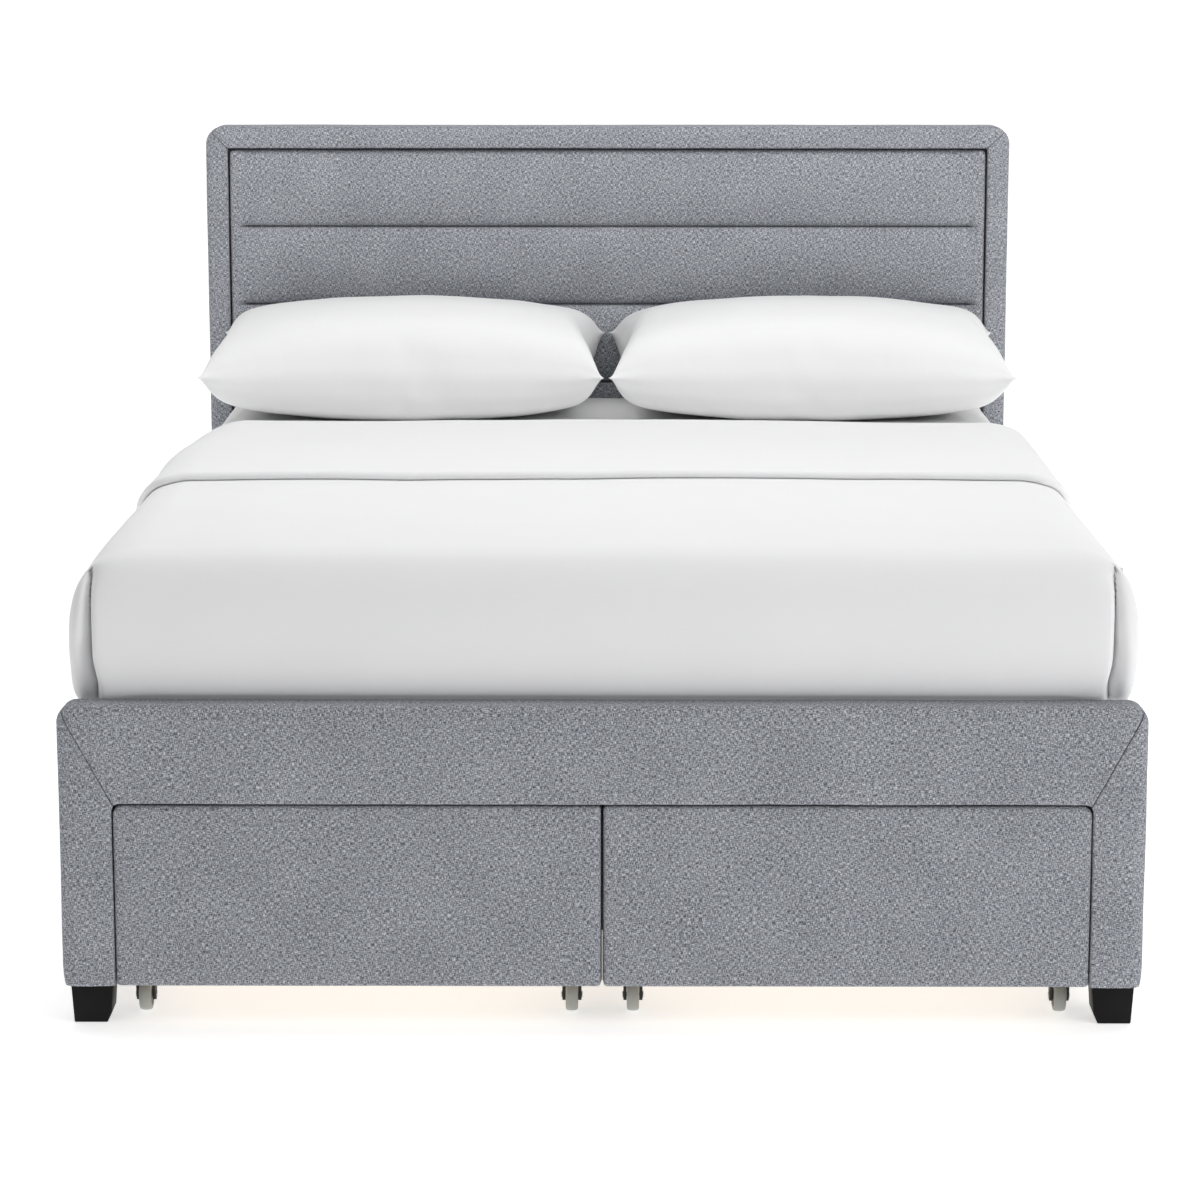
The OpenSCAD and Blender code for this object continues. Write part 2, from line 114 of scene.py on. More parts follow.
def tidy_mesh(obj, merge=1e-5):
    """Joins doubled points, drops empty faces and turns the normals outwards."""
    bm = bmesh.new()
    bm.from_mesh(obj.data)
    bmesh.ops.remove_doubles(bm, verts=bm.verts, dist=merge)
    bmesh.ops.dissolve_degenerate(bm, edges=bm.edges, dist=merge / 2)
    bmesh.ops.recalc_face_normals(bm, faces=bm.faces)
    bm.to_mesh(obj.data)
    bm.free()
    return obj


def smooth(obj, angle=40):
    """Smooth shading, with edges sharper than angle left sharp."""
    obj.data.shade_smooth()
    obj.data.set_sharp_from_angle(angle=math.radians(angle))
    return obj


def apply_modifiers(obj):
    graph = bpy.context.evaluated_depsgraph_get()
    graph.update()
    mesh = bpy.data.meshes.new_from_object(obj.evaluated_get(graph))
    obj.modifiers.clear()
    obj.data = mesh
    return obj


def weave_uv(obj):
    """A map in metres on every face, seen along the axis that the face mostly looks along."""
    mesh = obj.data
    for old in list(mesh.uv_layers):
        mesh.uv_layers.remove(old)
    layer = mesh.uv_layers.new(name="weave")
    co = np.empty(len(mesh.vertices) * 3)
    mesh.vertices.foreach_get("co", co)
    co = co.reshape(-1, 3)
    corner = np.empty(len(mesh.loops), np.int64)
    mesh.loops.foreach_get("vertex_index", corner)
    normal = np.empty(len(mesh.polygons) * 3)
    mesh.polygons.foreach_get("normal", normal)
    size = np.empty(len(mesh.polygons), np.int64)
    mesh.polygons.foreach_get("loop_total", size)
    axis = np.repeat(np.abs(normal.reshape(-1, 3)).argmax(1), size)
    flat = {0: (1, 2), 1: (0, 2), 2: (0, 1)}
    uv = np.empty((len(corner), 2))
    for a, (i, j) in flat.items():
        pick = axis == a
        uv[pick, 0] = co[corner[pick], i]
        uv[pick, 1] = co[corner[pick], j]
    layer.data.foreach_set("uv", uv.ravel())
    return obj


def finish_piece(obj, material, slot, body, *nodes):
    """Gives a piece its material and body, and hides the CAD nodes it stands for. Its slot is not used.
    """
    obj.data.materials.clear()
    obj.data.materials.append(material)
    weave_uv(obj)
    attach(obj, body)
    if nodes:
        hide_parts(*nodes)
    return obj


def softened(node, name, width, segments=2):
    """A copy of a CAD node's mesh with its edges eased."""
    obj = bpy.data.objects.new(name, frame["nodes"][node].data.copy())
    bpy.context.scene.collection.objects.link(obj)
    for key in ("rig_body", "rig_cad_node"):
        if key in obj:
            del obj[key]
    tidy_mesh(obj)
    bm = bmesh.new()
    bm.from_mesh(obj.data)
    bmesh.ops.dissolve_limit(bm, angle_limit=math.radians(1), verts=bm.verts, edges=bm.edges)
    bm.to_mesh(obj.data)
    bm.free()
    bevel = obj.modifiers.new("bevel", "BEVEL")
    bevel.width = width
    bevel.segments = segments
    bevel.limit_method = "ANGLE"
    bevel.angle_limit = math.radians(35)
    bevel.use_clamp_overlap = True
    apply_modifiers(obj)
    return smooth(obj)


spread = np.linspace


def grid_faces(rows, columns, start=0):
    """Faces of a grid of points that are listed row by row from a first one."""
    return [(start + i * columns + j, start + (i + 1) * columns + j,
             start + (i + 1) * columns + j + 1, start + i * columns + j + 1)
            for i in range(rows - 1) for j in range(columns - 1)]


def eased_arc(radius, count):
    """Insets from an edge at even angles of a quarter round."""
    angles = spread(0, math.pi / 2, count)
    return radius * (1 - np.cos(angles))


def roll(inset, radius):
    """How far a rounded edge lies behind the face, at a distance in from the edge."""
    inside = np.clip(radius - np.asarray(inset, float), 0, radius)
    return radius - np.sqrt(np.maximum(radius ** 2 - inside ** 2, 0))


def waves(points, scale, height, seed):
    """Smooth bumps in space, the same on every run."""
    shift = Vector((seed * 7.31, seed * 3.17, seed * 5.53))
    return np.array([noise.noise(Vector(p) / scale + shift) for p in points]) * height


def coordinates(obj):
    co = np.empty(len(obj.data.vertices) * 3)
    obj.data.vertices.foreach_get("co", co)
    return co.reshape(-1, 3)


def set_coordinates(obj, co):
    obj.data.vertices.foreach_set("co", np.ascontiguousarray(co).ravel())
    obj.data.update()


def normals(obj):
    n = np.empty(len(obj.data.vertices) * 3)
    obj.data.vertex_normals.foreach_get("vector", n)
    return n.reshape(-1, 3)


def push(obj, amount):
    """Moves each point along its normal by its own amount."""
    set_coordinates(obj, coordinates(obj) + normals(obj) * np.asarray(amount)[:, None])
    return obj


# ---- materials ----

class Shader:
    """A Principled material and short ways to add nodes to it."""

    def __init__(self, name, roughness, **uniform):
        self.material = bpy.data.materials.new(name)
        self.material.use_nodes = True
        self.tree = self.material.node_tree
        self.bsdf = self.tree.nodes["Principled BSDF"]
        self.bsdf.inputs["Roughness"].default_value = roughness
        for socket, value in uniform.items():
            self.bsdf.inputs[socket.replace("_", " ")].default_value = value

    def node(self, kind, inputs, **settings):
        """A new node. Its inputs are given by name or place, as values or as other outputs."""
        made = self.tree.nodes.new(kind)
        for key, value in settings.items():
            setattr(made, key, value)
        for key, value in inputs.items():
            if isinstance(value, bpy.types.NodeSocket):
                self.tree.links.new(value, made.inputs[key])
            else:
                made.inputs[key].default_value = value
        return made

    def place(self, scale, rotation=(0, 0, 0), uv=True):
        """Coordinates in metres, times scale: the weave map, or the object's own space."""
        if uv:
            source = self.node("ShaderNodeUVMap", {}, uv_map="weave").outputs["UV"]
        else:
            source = self.node("ShaderNodeTexCoord", {}).outputs["Object"]
        return self.node("ShaderNodeMapping", {
            "Scale": scale, "Rotation": rotation, "Vector": source}).outputs["Vector"]

    def noise(self, vector, detail=2.0, rough=0.5):
        return self.node("ShaderNodeTexNoise", {
            "Scale": 1, "Detail": detail, "Roughness": rough, "Vector": vector}).outputs["Fac"]

    def wave(self, vector, direction, scale):
        return self.node("ShaderNodeTexWave", {"Scale": scale, "Vector": vector},
                         bands_direction=direction).outputs["Fac"]

    def math(self, operation, a, b):
        return self.node("ShaderNodeMath", {0: a, 1: b}, operation=operation).outputs["Value"]

    def total(self, *parts, start=0.0):
        """The sum of outputs, each times its share."""
        for output, share in parts:
            start = self.math("ADD", self.math("MULTIPLY", output, share), start)
        return start

    def ramp(self, factor, stops):
        made = self.node("ShaderNodeValToRGB", {"Fac": factor})
        ramp = made.color_ramp
        while len(ramp.elements) < len(stops):
            ramp.elements.new(0.5)
        for element, (at, colour) in zip(ramp.elements, stops):
            element.position = at
            element.color = (*colour, 1)
        return made.outputs["Color"]

    def feed(self, socket, output):
        self.tree.links.new(output, self.bsdf.inputs[socket])

    def colour(self, output):
        self.feed("Base Color", output)

    def roughness(self, output, low, high):
        self.feed("Roughness", self.node("ShaderNodeMapRange", {
            "To Min": low, "To Max": high, "Value": output}).outputs["Result"])

    def bump(self, height, distance, strength, under=None):
        inputs = {"Strength": strength, "Distance": distance, "Height": height}
        if under is not None:
            inputs["Normal"] = under
        made = self.node("ShaderNodeBump", inputs).outputs["Normal"]
        self.feed("Normal", made)
        return made


def shade(colour, factor):
    return tuple(c * factor for c in colour)


def linen():
    """Grey melange linen: slubby yarns both ways, light and dark, over and under each other."""
    s = Shader("linen_grey", 0.92, Sheen_Weight=0.10, Sheen_Roughness=0.5, Specular_IOR_Level=0.15)
    yarn, run = 1 / 0.0009, 1 / 0.0058  # one over a yarn's width, a slub's length
    warp = s.noise(s.place((yarn, run, 1)), detail=1, rough=0.6)
    weft = s.noise(s.place((run, yarn, 1)), detail=1, rough=0.6)
    cloud = s.noise(s.place((9, 9, 1)), detail=2)
    mix = s.total((warp, 0.5), (weft, 0.5), (cloud, 0.04), start=-0.02)
    s.colour(s.ramp(mix, [
        (0.36, (0.045, 0.047, 0.054)), (0.44, (0.160, 0.168, 0.190)),
        (0.52, (0.320, 0.335, 0.370)), (0.62, (0.740, 0.758, 0.795))]))
    over, under = (s.wave(s.place((1, 1, 1)), axis, scale=310) for axis in "XY")
    thread = s.total((over, under), (mix, 1.2))
    s.bump(thread, 0.0005, 0.55)
    return s.material


def cotton(name, tint, wrinkle=1.0):
    """Plain white cotton: a fine weave, faint creases and a soft sheen."""
    s = Shader(name, 0.85, Sheen_Weight=0.08, Sheen_Roughness=0.4, Specular_IOR_Level=0.2)
    weave = s.noise(s.place((900, 900, 1)), detail=1)
    slub = s.noise(s.place((60, 900, 1)), detail=2)
    cloud = s.noise(s.place((5, 5, 1)), detail=2)
    tone = s.total((weave, 0.4), (slub, 0.3), (cloud, 0.3))
    s.colour(s.ramp(tone, [(0.3, shade(tint, 0.965)), (0.7, tint)]))
    crease = s.noise(s.place((26, 11, 1), rotation=(0, 0, 0.5)), detail=3, rough=0.45)
    first = s.bump(crease, 0.0022, 0.25 * wrinkle)
    s.bump(weave, 0.0002, 0.35, under=first)
    return s.material


def wood(name, light, dark, grain=(3, 90), rough=(0.45, 0.62), along="X"):
    """Lacquered or raw timber, with grain that runs along one axis of the object."""
    s = Shader(name, 0.5)
    scale = tuple(grain[axis != along] for axis in "XYZ")
    vector = s.place(scale, uv=False)
    lines = s.noise(vector, detail=6, rough=0.62)
    rings = s.noise(s.place(shade(scale, 0.13), uv=False), detail=2)
    tone = s.total((lines, 0.6), (rings, 0.4))
    s.colour(s.ramp(tone, [(0.32, dark), (0.5, light), (0.68, shade(light, 1.08))]))
    s.roughness(tone, *rough)
    s.bump(lines, 0.0004, 0.3)
    return s.material


def chipboard(name, light, dark):
    """Pressed board with visible chips."""
    s = Shader(name, 0.75)
    chips = s.noise(s.place((210, 120, 160), uv=False), detail=3, rough=0.7)
    s.colour(s.ramp(chips, [(0.35, dark), (0.5, light), (0.7, shade(light, 1.15))]))
    s.bump(chips, 0.0004, 0.4)
    return s.material


def painted(name, tint, rough, metallic=0.0, gloss=0.5):
    """Paint or moulded plastic: a fine orange peel, and tone and roughness that vary in broad clouds."""
    s = Shader(name, rough[0], Metallic=metallic, Specular_IOR_Level=gloss)
    peel = s.noise(s.place((240,) * 3, uv=False), detail=3)
    cloud = s.noise(s.place((14,) * 3, uv=False), detail=3)
    s.colour(s.ramp(cloud, [(0.3, shade(tint, 0.86)), (0.7, shade(tint, 1.1))]))
    s.roughness(cloud, *rough)
    s.bump(peel, 0.00015, 0.5)
    return s.material


def dust_cloth():
    """Black spun-bonded cloth with its pressed dimples."""
    s = Shader("dust_cover", 0.9, Specular_IOR_Level=0.2)
    dots = s.node("ShaderNodeTexVoronoi", {
        "Scale": 1, "Randomness": 0.15, "Vector": s.place((420, 420, 1))})
    fibre = s.noise(s.place((260, 90, 1), rotation=(0, 0, 0.7)), detail=4, rough=0.7)
    s.colour(s.ramp(fibre, [(0.3, (0.010, 0.010, 0.012)), (0.7, (0.040, 0.040, 0.045))]))
    s.bump(dots.outputs["Distance"], 0.0003, 0.6)
    return s.material


LINEN = linen()
DUVET_COTTON = cotton("duvet_cotton", (0.875, 0.875, 0.88))
PILLOW_COTTON = cotton("pillow_cotton", (0.90, 0.90, 0.902))
SHEET_COTTON = cotton("sheet_cotton", (0.87, 0.87, 0.872), 1.5)
DUST_CLOTH = dust_cloth()
BLACK_PAINT = painted("leg_black", (0.006, 0.006, 0.006), (0.42, 0.55), gloss=0.15)
FORK_PLASTIC = painted("castor_fork_black", (0.016, 0.016, 0.017), (0.45, 0.6))
WHEEL_PLASTIC = painted("castor_wheel_grey", (0.42, 0.43, 0.40), (0.35, 0.5))
HOLDER_PLASTIC = painted("slat_holder_black", (0.02, 0.02, 0.022), (0.5, 0.65))
STEEL_DARK = painted("steel_dark", (0.03, 0.03, 0.033), (0.4, 0.5), metallic=0.3)
ZINC = painted("steel_zinc", (0.55, 0.56, 0.58), (0.28, 0.42), metallic=0.95)
BIRCH = wood("slat_birch", (0.62, 0.46, 0.28), (0.47, 0.31, 0.17))
PINE = wood("frame_pine", (0.60, 0.40, 0.22), (0.42, 0.25, 0.12), grain=(2, 60), along="Y")
BOARD = chipboard("frame_chipboard", (0.42, 0.29, 0.18), (0.24, 0.15, 0.09))
DRAWER_FOIL = wood("drawer_foil", (0.56, 0.48, 0.38), (0.44, 0.36, 0.27), grain=(2.5, 70),
                   rough=(0.3, 0.42), along="Y")


def finish_linen(obj, body, node, angle=60):
    """Ends a padded piece that is covered in the grey linen."""
    smooth(obj, angle)
    finish_piece(obj, LINEN, "linen_grey", body, node)


# ---- camera, light and floor ----

def make_camera():
    """A long lens a little above the bed, looking down at it from its foot."""
    data = bpy.data.cameras.new("camera")
    data.sensor_width = 36
    data.lens = 107.6
    camera = bpy.data.objects.new("camera", data)
    camera.location = (0.026, Y_FOOT - 5.211, 1.625)
    camera.rotation_euler = (math.radians(90 - 10.44), 0, math.radians(0.32))
    bpy.context.scene.collection.objects.link(camera)
    bpy.context.scene.camera = camera


def area_light(name, location, target, size, power):
    data = bpy.data.lights.new(name, "AREA")
    data.shape = "RECTANGLE"
    data.size, data.size_y = size
    data.energy = power
    light = bpy.data.objects.new(name, data)
    light.location = location
    light.rotation_euler = (Vector(target) - Vector(location)).to_track_quat("-Z", "Y").to_euler()
    bpy.context.scene.collection.objects.link(light)


def make_studio():
    scene = bpy.context.scene
    scene.view_settings.view_transform = "Standard"
    world = bpy.data.worlds.new("studio")
    scene.world = world
    world.use_nodes = True
    background = world.node_tree.nodes["Background"]
    background.inputs["Color"].default_value = (1, 1, 1, 1)
    background.inputs["Strength"].default_value = 0.285
    area_light("key", (4.4, -4.2, 3.3), (0, -0.4, 0.5), (2.2, 2.2), 106)
    area_light("top", (0, 0.2, 4.4), (0, 0.0, 0.5), (4.6, 4), 6)
    area_light("head", (0, -0.6, 3.2), (0, 1.1, 0.8), (3.0, 1.2), 43)
    # a floor that sweeps up into a backdrop behind the bed
    rows, turn, behind, width = [(-30, 0)], 3.0, 7.0, 40
    rows += [(behind + turn * math.sin(a), turn - turn * math.cos(a))
             for a in np.radians(spread(0, 90, 17))] + [(behind + turn, 16)]
    verts = [(side * width, y, z) for y, z in rows for side in (-1, 1)]
    faces = [(2 * k, 2 * k + 1, 2 * k + 3, 2 * k + 2) for k in range(len(rows) - 1)]
    floor = smooth(make_object("floor_and_backdrop", verts, faces))
    s = Shader("floor_pale", 0.9, Emission_Color=(1, 1, 1, 1), Emission_Strength=0.57)
    cloud = s.noise(s.place((0.4,) * 3, uv=False), detail=2)
    s.colour(s.ramp(cloud, [(0.3, (0.90,) * 3), (0.7, (0.92,) * 3)]))
    floor.data.materials.append(s.material)


# ---- padded frames: headboard border and foot end ----

def arch_distance(x, z, half, top, corner):
    """How far a point is inside an arch's sides and top, whose upper corners are rounded."""
    dx, dz = half - np.abs(x), top - z
    inset = np.minimum(dx, dz)
    near = (dx < corner) & (dz < corner)
    round_ = corner - np.hypot(corner - dx, corner - dz)
    return np.where(near, round_, inset)


def opening_distance(x, z, half, top, corner):
    """How far a point is outside an opening's sides and top."""
    dx, dz = np.abs(x) - (half - corner), z - (top - corner)
    outside = np.hypot(np.maximum(dx, 0), np.maximum(dz, 0)) - corner
    return np.maximum(outside, 0)


def corner_arc(half, top, corner, start, stop, count):
    """Points on an arch's right corner, between two angles from +X."""
    a = np.radians(spread(start, stop, count))
    return np.stack([half - corner + corner * np.cos(a), top - corner + corner * np.sin(a)], 1)


def border_strip(name, outer, inner, insets, depth_at, y_front, y_back, mirror=1):
    """A closed padded strip between two outlines. Its columns run from outer to inner point by
    point; depth_at gives how far its face lies behind y_front; its sides and back are flat."""
    shares = []
    for a, b in zip(outer, inner):
        share = np.clip(insets / math.dist(a, b), 0, 1)
        shares.append(np.unique(np.concatenate([share[share <= 0.5], 1 - share[share < 0.5], [0.5]])))
    count = max(len(share) for share in shares)
    verts = []
    for share, (xo, zo), (xi, zi) in zip(shares, outer, inner):
        if len(share) != count:
            share = np.interp(spread(0, 1, count), spread(0, 1, len(share)), share)
        x, z = xo + (xi - xo) * share, zo + (zi - zo) * share
        y = y_front + depth_at(x, z)
        front = list(zip(x, y, z))
        inner_wall = [(xi, t, zi) for t in spread(y[-1], y_back, 5)[1:]]
        back = [(xi + (xo - xi) * t, y_back, zi + (zo - zi) * t) for t in spread(0, 1, 7)[1:]]
        outer_wall = [(xo, t, zo) for t in spread(y_back, y[0], 9)[1:-1]]
        loop = front + inner_wall + back + outer_wall
        loop_len = len(loop)
        verts += [(mirror * px, py, pz) for px, py, pz in loop]
    n = len(shares)
    faces = []
    for c in range(n - 1):
        for r in range(loop_len):
            a, b = c * loop_len + r, c * loop_len + (r + 1) % loop_len
            faces.append((a, b, b + loop_len, a + loop_len))
    faces.append(tuple(range(loop_len)))
    faces.append(tuple(range((n - 1) * loop_len, n * loop_len)))
    return tidy_mesh(make_object(name, verts, faces))


def seam_press(obj, a, b, width, depth):
    """Presses the cloth in along a sewn mitre, a line from a to b in X and Z."""
    co = coordinates(obj)
    a, b = np.array(a), np.array(b)
    along = (b - a) / np.linalg.norm(b - a)
    rel = np.stack([np.abs(co[:, 0]), co[:, 2]], 1) - a
    off = np.abs(rel[:, 0] * along[1] - rel[:, 1] * along[0])
    amount = -depth * np.clip(1 - off / width, 0, 1) ** 2
    push(obj, amount)
    return obj


def dense_start(start, stop, count, fine, fine_count):
    """Even places from start to stop, with extra ones just after start."""
    extra = start + fine * (np.arange(1, fine_count + 1) / fine_count) ** 1.5
    return np.unique(np.round(np.concatenate([spread(start, stop, count), extra]), 6))


def inner_edge(at, edge, corner, bend):
    """Where an opening's straight edge lies at a place along it, and round its corner past bend."""
    if at <= bend:
        return edge
    return edge - corner + math.sqrt(max(corner ** 2 - (at - bend) ** 2, 0))


def framed_pieces(prefix, half_out, top_out, corner_out, half_in, top_in, corner_in, bottom,
                  y_front, y_back, roll_out, roll_in, crown, nodes, mitre_angle, seam_depth, taper):
    """The left, right and top strips of a padded frame with sewn mitres at its two corners."""
    split_out = corner_arc(half_out, top_out, corner_out, mitre_angle, mitre_angle, 1)[0]
    split_in = corner_arc(half_in, top_in, corner_in, 45, 45, 1)[0]
    insets = np.unique(np.concatenate([eased_arc(roll_out, 9), eased_arc(roll_in, 5), [
        roll_out * 1.3, roll_out * 1.8]]))

    def depth_at(x, z):
        out = arch_distance(x, z, half_out, top_out, corner_out)
        inn = opening_distance(x, z, half_in, top_in, corner_in)
        low = np.maximum(z - bottom, 0)
        swell = crown * (1 - np.clip(1 - np.minimum(out, inn) / (3 * roll_out), 0, 1) ** 2)
        return roll(out, roll_out) + roll(inn, roll_in) + roll(low, 5 * MM) + crown - swell

    # a post: up its straight side, then round the corner to the mitre
    straight = dense_start(bottom, top_out - corner_out, 60, 12 * MM, 6)
    arc = corner_arc(half_out, top_out, corner_out, 0, mitre_angle, 14)[1:]
    outer = [(half_out - taper * max(0, 1 - (z - bottom) / (9 * taper + 5 * MM)) ** 3.5, z)
             for z in straight] + [tuple(p) for p in arc]
    rise = np.array([z for _, z in outer])
    share = (rise - bottom) / (split_out[1] - bottom)
    inner = [(inner_edge(z, half_in, corner_in, top_in - corner_in), z)
             for z in bottom + share * (split_in[1] - bottom)]
    inner[-1] = tuple(split_in)
    made = {}
    for side, sign in SIDES.items():
        made[side] = border_strip(f"{prefix}_{side}", outer, inner, insets, depth_at, y_front,
                                  y_back, sign)
    # the top: from the right mitre to the left one
    arc = corner_arc(half_out, top_out, corner_out, mitre_angle, 90, 14)
    xs = spread(half_out - corner_out, 0, 70)[1:]
    right = [tuple(p) for p in arc] + [(x, top_out) for x in xs]
    inner_xs = [p[0] / split_out[0] * split_in[0] for p in right]
    top_inner = [(x, inner_edge(x, top_in, corner_in, half_in - corner_in)) for x in inner_xs]
    top_inner[0] = tuple(split_in)
    outer_top = right + [(-x, z) for x, z in reversed(right[:-1])]
    inner_top = top_inner + [(-x, z) for x, z in reversed(top_inner[:-1])]
    made["top"] = border_strip(f"{prefix}_top", outer_top, inner_top, insets, depth_at, y_front,
                               y_back)
    for key, obj in made.items():
        seam_press(obj, split_in, split_out, 5 * MM, seam_depth)
        co = coordinates(obj)
        push(obj, waves(co, 0.16, 0.9 * MM, 3) + waves(co, 0.05, 0.25 * MM, 5))
        finish_linen(obj, "frame", nodes[key], angle=50)


def make_headboard_border():
    framed_pieces("border_padding", X_SIDE, HEAD_TOP, 36 * MM, X_BORDER_IN, Z_BORDER_IN, 5 * MM,
                  LEG_H, Y_BORDER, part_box("headboard_board")[1].y, 13 * MM, 4 * MM, 2 * MM,
                  {"left": "headboard_border_left", "right": "headboard_border_right",
                   "top": "headboard_border_top"}, 45, 0.9 * MM, 1 * MM)


def make_foot_end():
    framed_pieces("foot_end", X_SIDE, FOOT_TOP, 27 * MM, X_POST, OPENING_TOP, 14 * MM, LEG_H,
                  Y_FOOT, Y_FOOT_BACK, 19 * MM, 4 * MM, 2 * MM,
                  {"left": "foot_post_cover_left", "right": "foot_post_cover_right",
                   "top": "foot_rail_cover"}, 42, 1.3 * MM, 6 * MM)


# ---- padded panels ----

def graded(length, fine, count_fine, count):
    """Positions from 0 to length, close together near both ends."""
    ends = fine * (spread(0, 1, count_fine + 1)) ** 1.3
    middle = spread(fine, length - fine, count)
    return np.unique(np.round(np.concatenate([ends, middle, length - ends]), 7))


def rounded_face(us, vs, corners):
    """Points of a rectangle's grid with each corner's square drawn in to a quarter round.
    corners are the radii at (low u, low v), (high u, low v), (low u, high v), (high u, high v)."""
    width, height = us[-1], vs[-1]
    u, v = np.meshgrid(us, vs, indexing="ij")
    inset = np.minimum(np.minimum(u, width - u), np.minimum(v, height - v))
    for k, r in enumerate(corners):
        if r <= 0:
            continue
        cu = width - r if k % 2 else r
        cv = height - r if k // 2 else r
        su, sv = (1 if k % 2 else -1), (1 if k // 2 else -1)
        a, b = (u - cu) * su / r, (v - cv) * sv / r
        near = (a > 0) & (b > 0)
        a, b = np.where(near, a, 1), np.where(near, b, 1)
        pull = np.maximum(a, b) / np.hypot(a, b)
        u = np.where(near, cu + su * r * a * pull, u)
        v = np.where(near, cv + sv * r * b * pull, v)
    return u, v, inset


def panel(name, grid, corners, depth_at, thickness, place, flare=0.0):
    """A closed padded panel: a rounded face over a flat back. place turns (u, v, depth) into
    X, Y and Z; depth_at(u, v, inset) is how far the face lies behind its highest plane. The
    cloth's turned edge spreads by flare towards the back."""
    us, vs = grid
    u, v, inset = rounded_face(us, vs, corners)
    depth = depth_at(u, v, inset)
    nu, nv = u.shape
    rim = ([(i, 0) for i in range(nu)] + [(nu - 1, j) for j in range(1, nv)]
           + [(i, nv - 1) for i in range(nu - 2, -1, -1)] + [(0, j) for j in range(nv - 2, 0, -1)])
    verts = [place(u[i, j], v[i, j], depth[i, j]) for i in range(nu) for j in range(nv)]
    faces = grid_faces(nu, nv)
    ring = [i * nv + j for i, j in rim]
    for step in spread(0, 1, 7)[1:]:
        start = len(verts)
        out = flare * max(0, 2 * step - 1)
        for i, j in rim:
            d = depth[i, j] + (thickness - depth[i, j]) * step
            verts.append(place(u[i, j] + out * (2 * u[i, j] / us[-1] - 1),
                               v[i, j] + out * (2 * v[i, j] / vs[-1] - 1), d))
        new = list(range(start, len(verts)))
        for k in range(len(ring)):
            m = (k + 1) % len(ring)
            faces.append((ring[k], ring[m], new[m], new[k]))
        ring = new
    faces.append(tuple(ring))
    return tidy_mesh(make_object(name, verts, faces))


def front_panel(name, low, high, grid, corners, depth_at, flare=0.0):
    """A panel that fills a box and faces the foot of the bed."""
    return panel(name, grid, corners, depth_at, high.y - low.y,
                 lambda u, v, d: (low.x + u, low.y + d, low.z + v), flare)


def ripple(obj, y_limit, bumps):
    """Moves the points of a panel's face, before y_limit, back by what bumps says of them."""
    co = coordinates(obj)
    co[:, 1] += np.where(co[:, 1] < y_limit, bumps(co), 0)
    set_coordinates(obj, co)


def make_channel_panel():
    """The headboard's inner panel: four sewn channels that swell between their seams."""
    low, high = Vector(PANEL[0]), Vector(PANEL[1])
    spread_by = 2 * MM  # how far the padding swells into the gap
    count = 4
    pitch = (high.z - low.z + 12 * MM) / count
    low -= Vector((spread_by, 0, spread_by))
    high += Vector((spread_by, 0, spread_by))
    width, height = high.x - low.x, high.z - low.z
    seams = [k * pitch - 6 * MM + spread_by for k in range(1, count)]
    vs = [0, height]
    for at in [0, *seams, height]:
        vs += [at + s * d * MM for s in (-1, 1)
               for d in (0, 0.4, 0.9, 1.6, 2.6, 4, 6, 9, 13, 18, 25, 34, 45, 60, 76)]
    vs = np.unique(np.round([v for v in vs if 0 <= v <= height], 6))
    us = graded(width, 60 * MM, 22, 130)

    def depth_at(u, v, inset):
        fade = ease(np.minimum(u, width - u), 9 * MM, 35 * MM)
        belly = (2 * np.mod((v - seams[0]) / pitch, 1) - 1) ** 2 * 7 * MM
        crown = belly * fade
        for at in seams:
            off = np.abs(v - at)
            # the stitch, the cloth beside it and the swell of the padding
            drawn = sum(share * np.exp(-off / (reach * MM))
                        for share, reach in ((0.5, 1.8), (0.40, 6), (0.33, 34)))
            crown = np.maximum(crown, (drawn * 18 * MM + belly) * fade)
        edge = np.exp(-np.minimum(v, height - v) / (30 * MM)) * 6 * MM
        return roll(inset, 8 * MM) + crown + edge

    def puckers(co):
        off = np.min([np.abs(co[:, 2] - low.z - at) for at in seams], axis=0)
        pucker = waves(co * np.array([1, 1, 0.35]), 0.045, 1.1 * MM, 11)
        return pucker * np.exp(-off / (22 * MM)) + waves(co, 0.20, 1.4 * MM, 12)

    obj = front_panel("headboard_channels", low, high, (us, vs), (9 * MM,) * 4, depth_at, 3.5 * MM)
    ripple(obj, low.y + 24 * MM, puckers)
    finish_linen(obj, "frame", "headboard_channel_panel")


def make_drawer_front(side, sign):
    """A drawer's padded front, rounder at its outer top corner."""
    node = f"drawer_{side}_front_cover"
    low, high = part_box(node)
    width, height = high.x - low.x, high.z - low.z
    us = graded(width, 22 * MM, 10, 60)
    vs = graded(height, 22 * MM, 10, 30)
    outer_r, inner_r, foot_r = 15 * MM, 7 * MM, 6 * MM
    tops = (inner_r, outer_r) if sign > 0 else (outer_r, inner_r)

    def depth_at(u, v, inset):
        crown = 1.6 * MM * np.clip(1 - inset / (45 * MM), 0, 1) ** 2
        return roll(inset, 6 * MM) + crown

    obj = front_panel(f"drawer_{side}_front", low, high, (us, vs), (foot_r, foot_r, *tops),
                      depth_at, 1.6 * MM)
    ripple(obj, low.y + 8 * MM, lambda co: waves(co, 0.17, 0.9 * MM, 21 + sign))
    finish_linen(obj, f"drawer_{side}", node)


